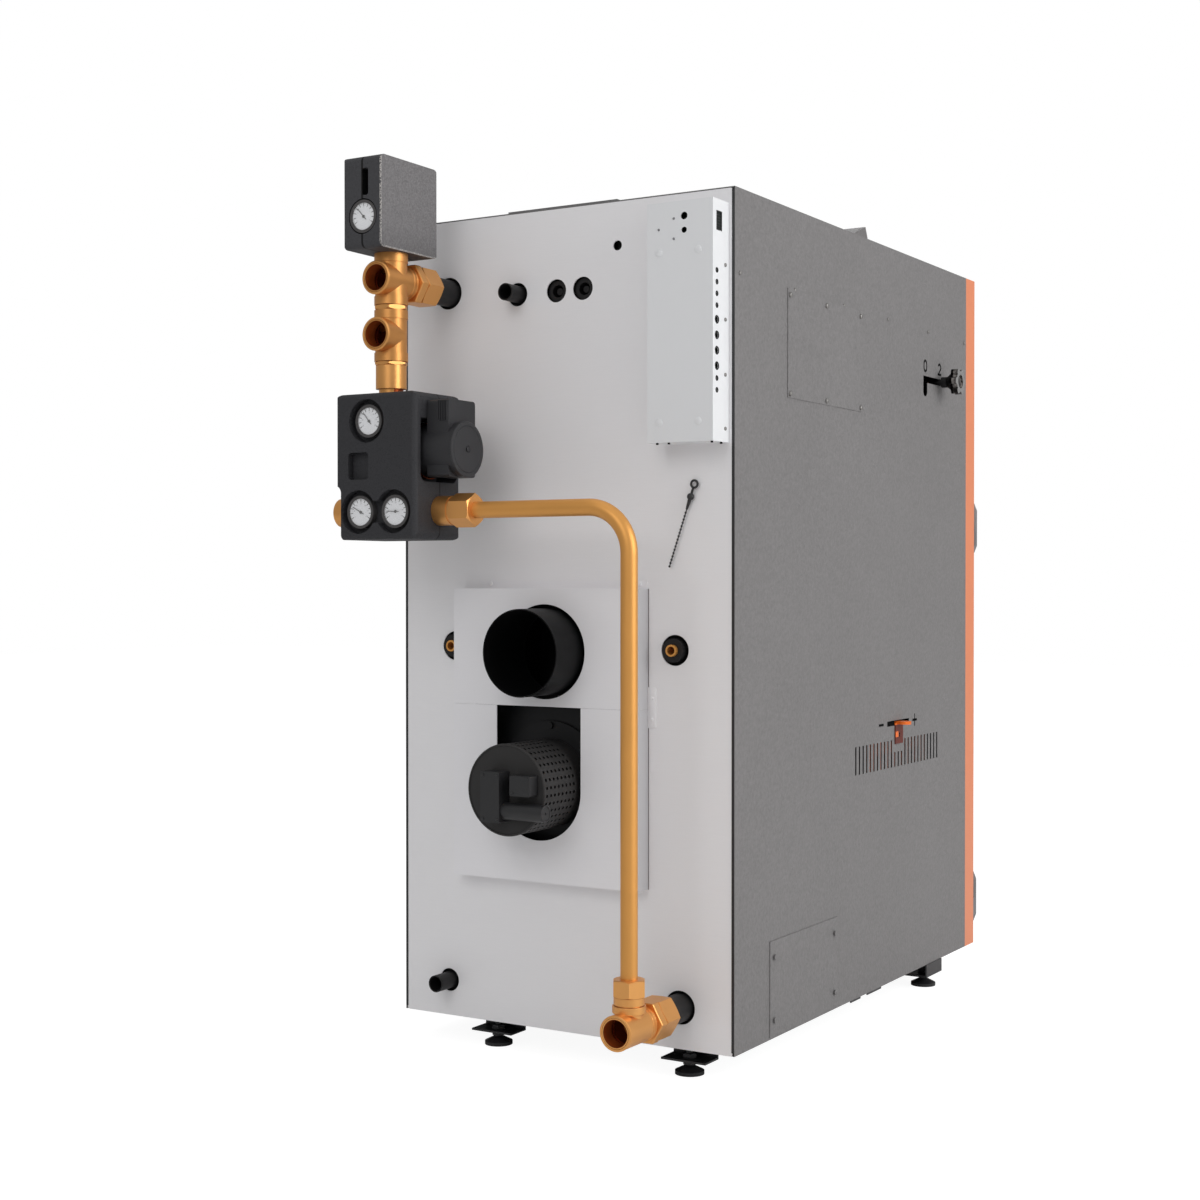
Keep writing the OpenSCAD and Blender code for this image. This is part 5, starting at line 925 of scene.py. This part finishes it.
# Camera of the photograph
CAMERA_PLACE = (-1722.0, 2703.9, 782.3)
CAMERA_YAW = math.radians(31.29)
CAMERA_PITCH = math.radians(0.575)
camera_data = bpy.data.cameras.new("photo_camera")
camera_data.lens = 55.42
camera_data.sensor_width = 36.0
camera = bpy.data.objects.new("photo_camera", camera_data)
bpy.context.collection.objects.link(camera)
level = math.cos(CAMERA_PITCH)
forward = Vector((math.sin(CAMERA_YAW) * level, -math.cos(CAMERA_YAW) * level, -math.sin(CAMERA_PITCH)))
side = Vector((-math.cos(CAMERA_YAW), -math.sin(CAMERA_YAW), 0.0))
up = side.cross(forward)
aim = Matrix((side, up, -forward)).transposed()
camera.matrix_world = Matrix.Translation(at(*CAMERA_PLACE)) @ aim.to_4x4()
bpy.context.scene.camera = camera


# Light, in metres and watts


def lamp(name, place, target, size, power):
    data = bpy.data.lights.new(name, "AREA")
    data.shape = "RECTANGLE"
    data.size, data.size_y = size
    data.energy = power
    light = bpy.data.objects.new(name, data)
    bpy.context.collection.objects.link(light)
    light.location = place
    light.rotation_euler = (Vector(target) - Vector(place)).to_track_quat("-Z", "Y").to_euler()


lamp("key", (-0.6, 5.2, 3.6), (0.0, 0.2, 0.7), (3.0, 3.0), 62.0)
lamp("side", (-4.8, -0.2, 2.4), (0.0, 0.0, 0.7), (4.0, 3.2), 165.0)
lamp("front", (1.5, -4.5, 3.0), (0.0, 0.0, 0.8), (3.0, 3.0), 60.0)
lamp("top", (0.0, 0.3, 4.6), (0.0, 0.0, 0.0), (4.0, 4.0), 30.0)

# Room: white where the camera looks, also through the glass, and dimmer as a light
WHITE = (1.0, 1.0, 1.0, 1.0)
ROOM_LIGHT = 0.4


def place_node(tree, kind, **values):
    """One node of a tree that isn't an object's finish."""
    node = tree.nodes.new("ShaderNode" + kind)
    for name, value in values.items():
        feed(tree, node.inputs[name], value)
    return Value(tree, node.outputs[0])


world = bpy.data.worlds.new("studio")
bpy.context.scene.world = world
world.use_nodes = True
tree = world.node_tree
tree.nodes.clear()
rays = tree.nodes.new("ShaderNodeLightPath")
seen = Value(tree, rays.outputs["Is Camera Ray"]).math("MAXIMUM", Value(tree, rays.outputs["Is Transmission Ray"]))
plain = place_node(tree, "Background", Color=WHITE, Strength=ROOM_LIGHT)
white = place_node(tree, "Background", Color=WHITE, Strength=1.0)
choice = tree.nodes.new("ShaderNodeMixShader")
for slot, value in enumerate((seen, plain, white)):
    feed(tree, choice.inputs[slot], value)
room = tree.nodes.new("ShaderNodeOutputWorld")
tree.links.new(choice.outputs[0], room.inputs[0])

# Floor: mostly a white glow for the camera, so that only a soft shadow stays
FLOOR_SIZE = 30.0
FLOOR_Z = -0.0005
FLOOR_TONE = (0.8, 0.8, 0.8, 1.0)
FLOOR_GLOW = 1.33
GLOW_SHARE = 0.7
bpy.ops.mesh.primitive_plane_add(size=FLOOR_SIZE, location=(0.0, 0.0, FLOOR_Z))
floor = bpy.context.object
floor.name = "studio_floor"
pale = bpy.data.materials.new("pale_floor")
pale.use_nodes = True
tree = pale.node_tree
tree.nodes.clear()
rays = tree.nodes.new("ShaderNodeLightPath")
share = Value(tree, rays.outputs["Is Camera Ray"]) * GLOW_SHARE
matt = place_node(tree, "BsdfDiffuse", Color=FLOOR_TONE)
glow = place_node(tree, "Emission", Strength=FLOOR_GLOW)
mix = tree.nodes.new("ShaderNodeMixShader")
for slot, value in enumerate((share, matt, glow)):
    feed(tree, mix.inputs[slot], value)
pale_out = tree.nodes.new("ShaderNodeOutputMaterial")
tree.links.new(mix.outputs[0], pale_out.inputs[0])
floor.data.materials.append(pale)

bpy.context.scene.view_settings.view_transform = "Standard"
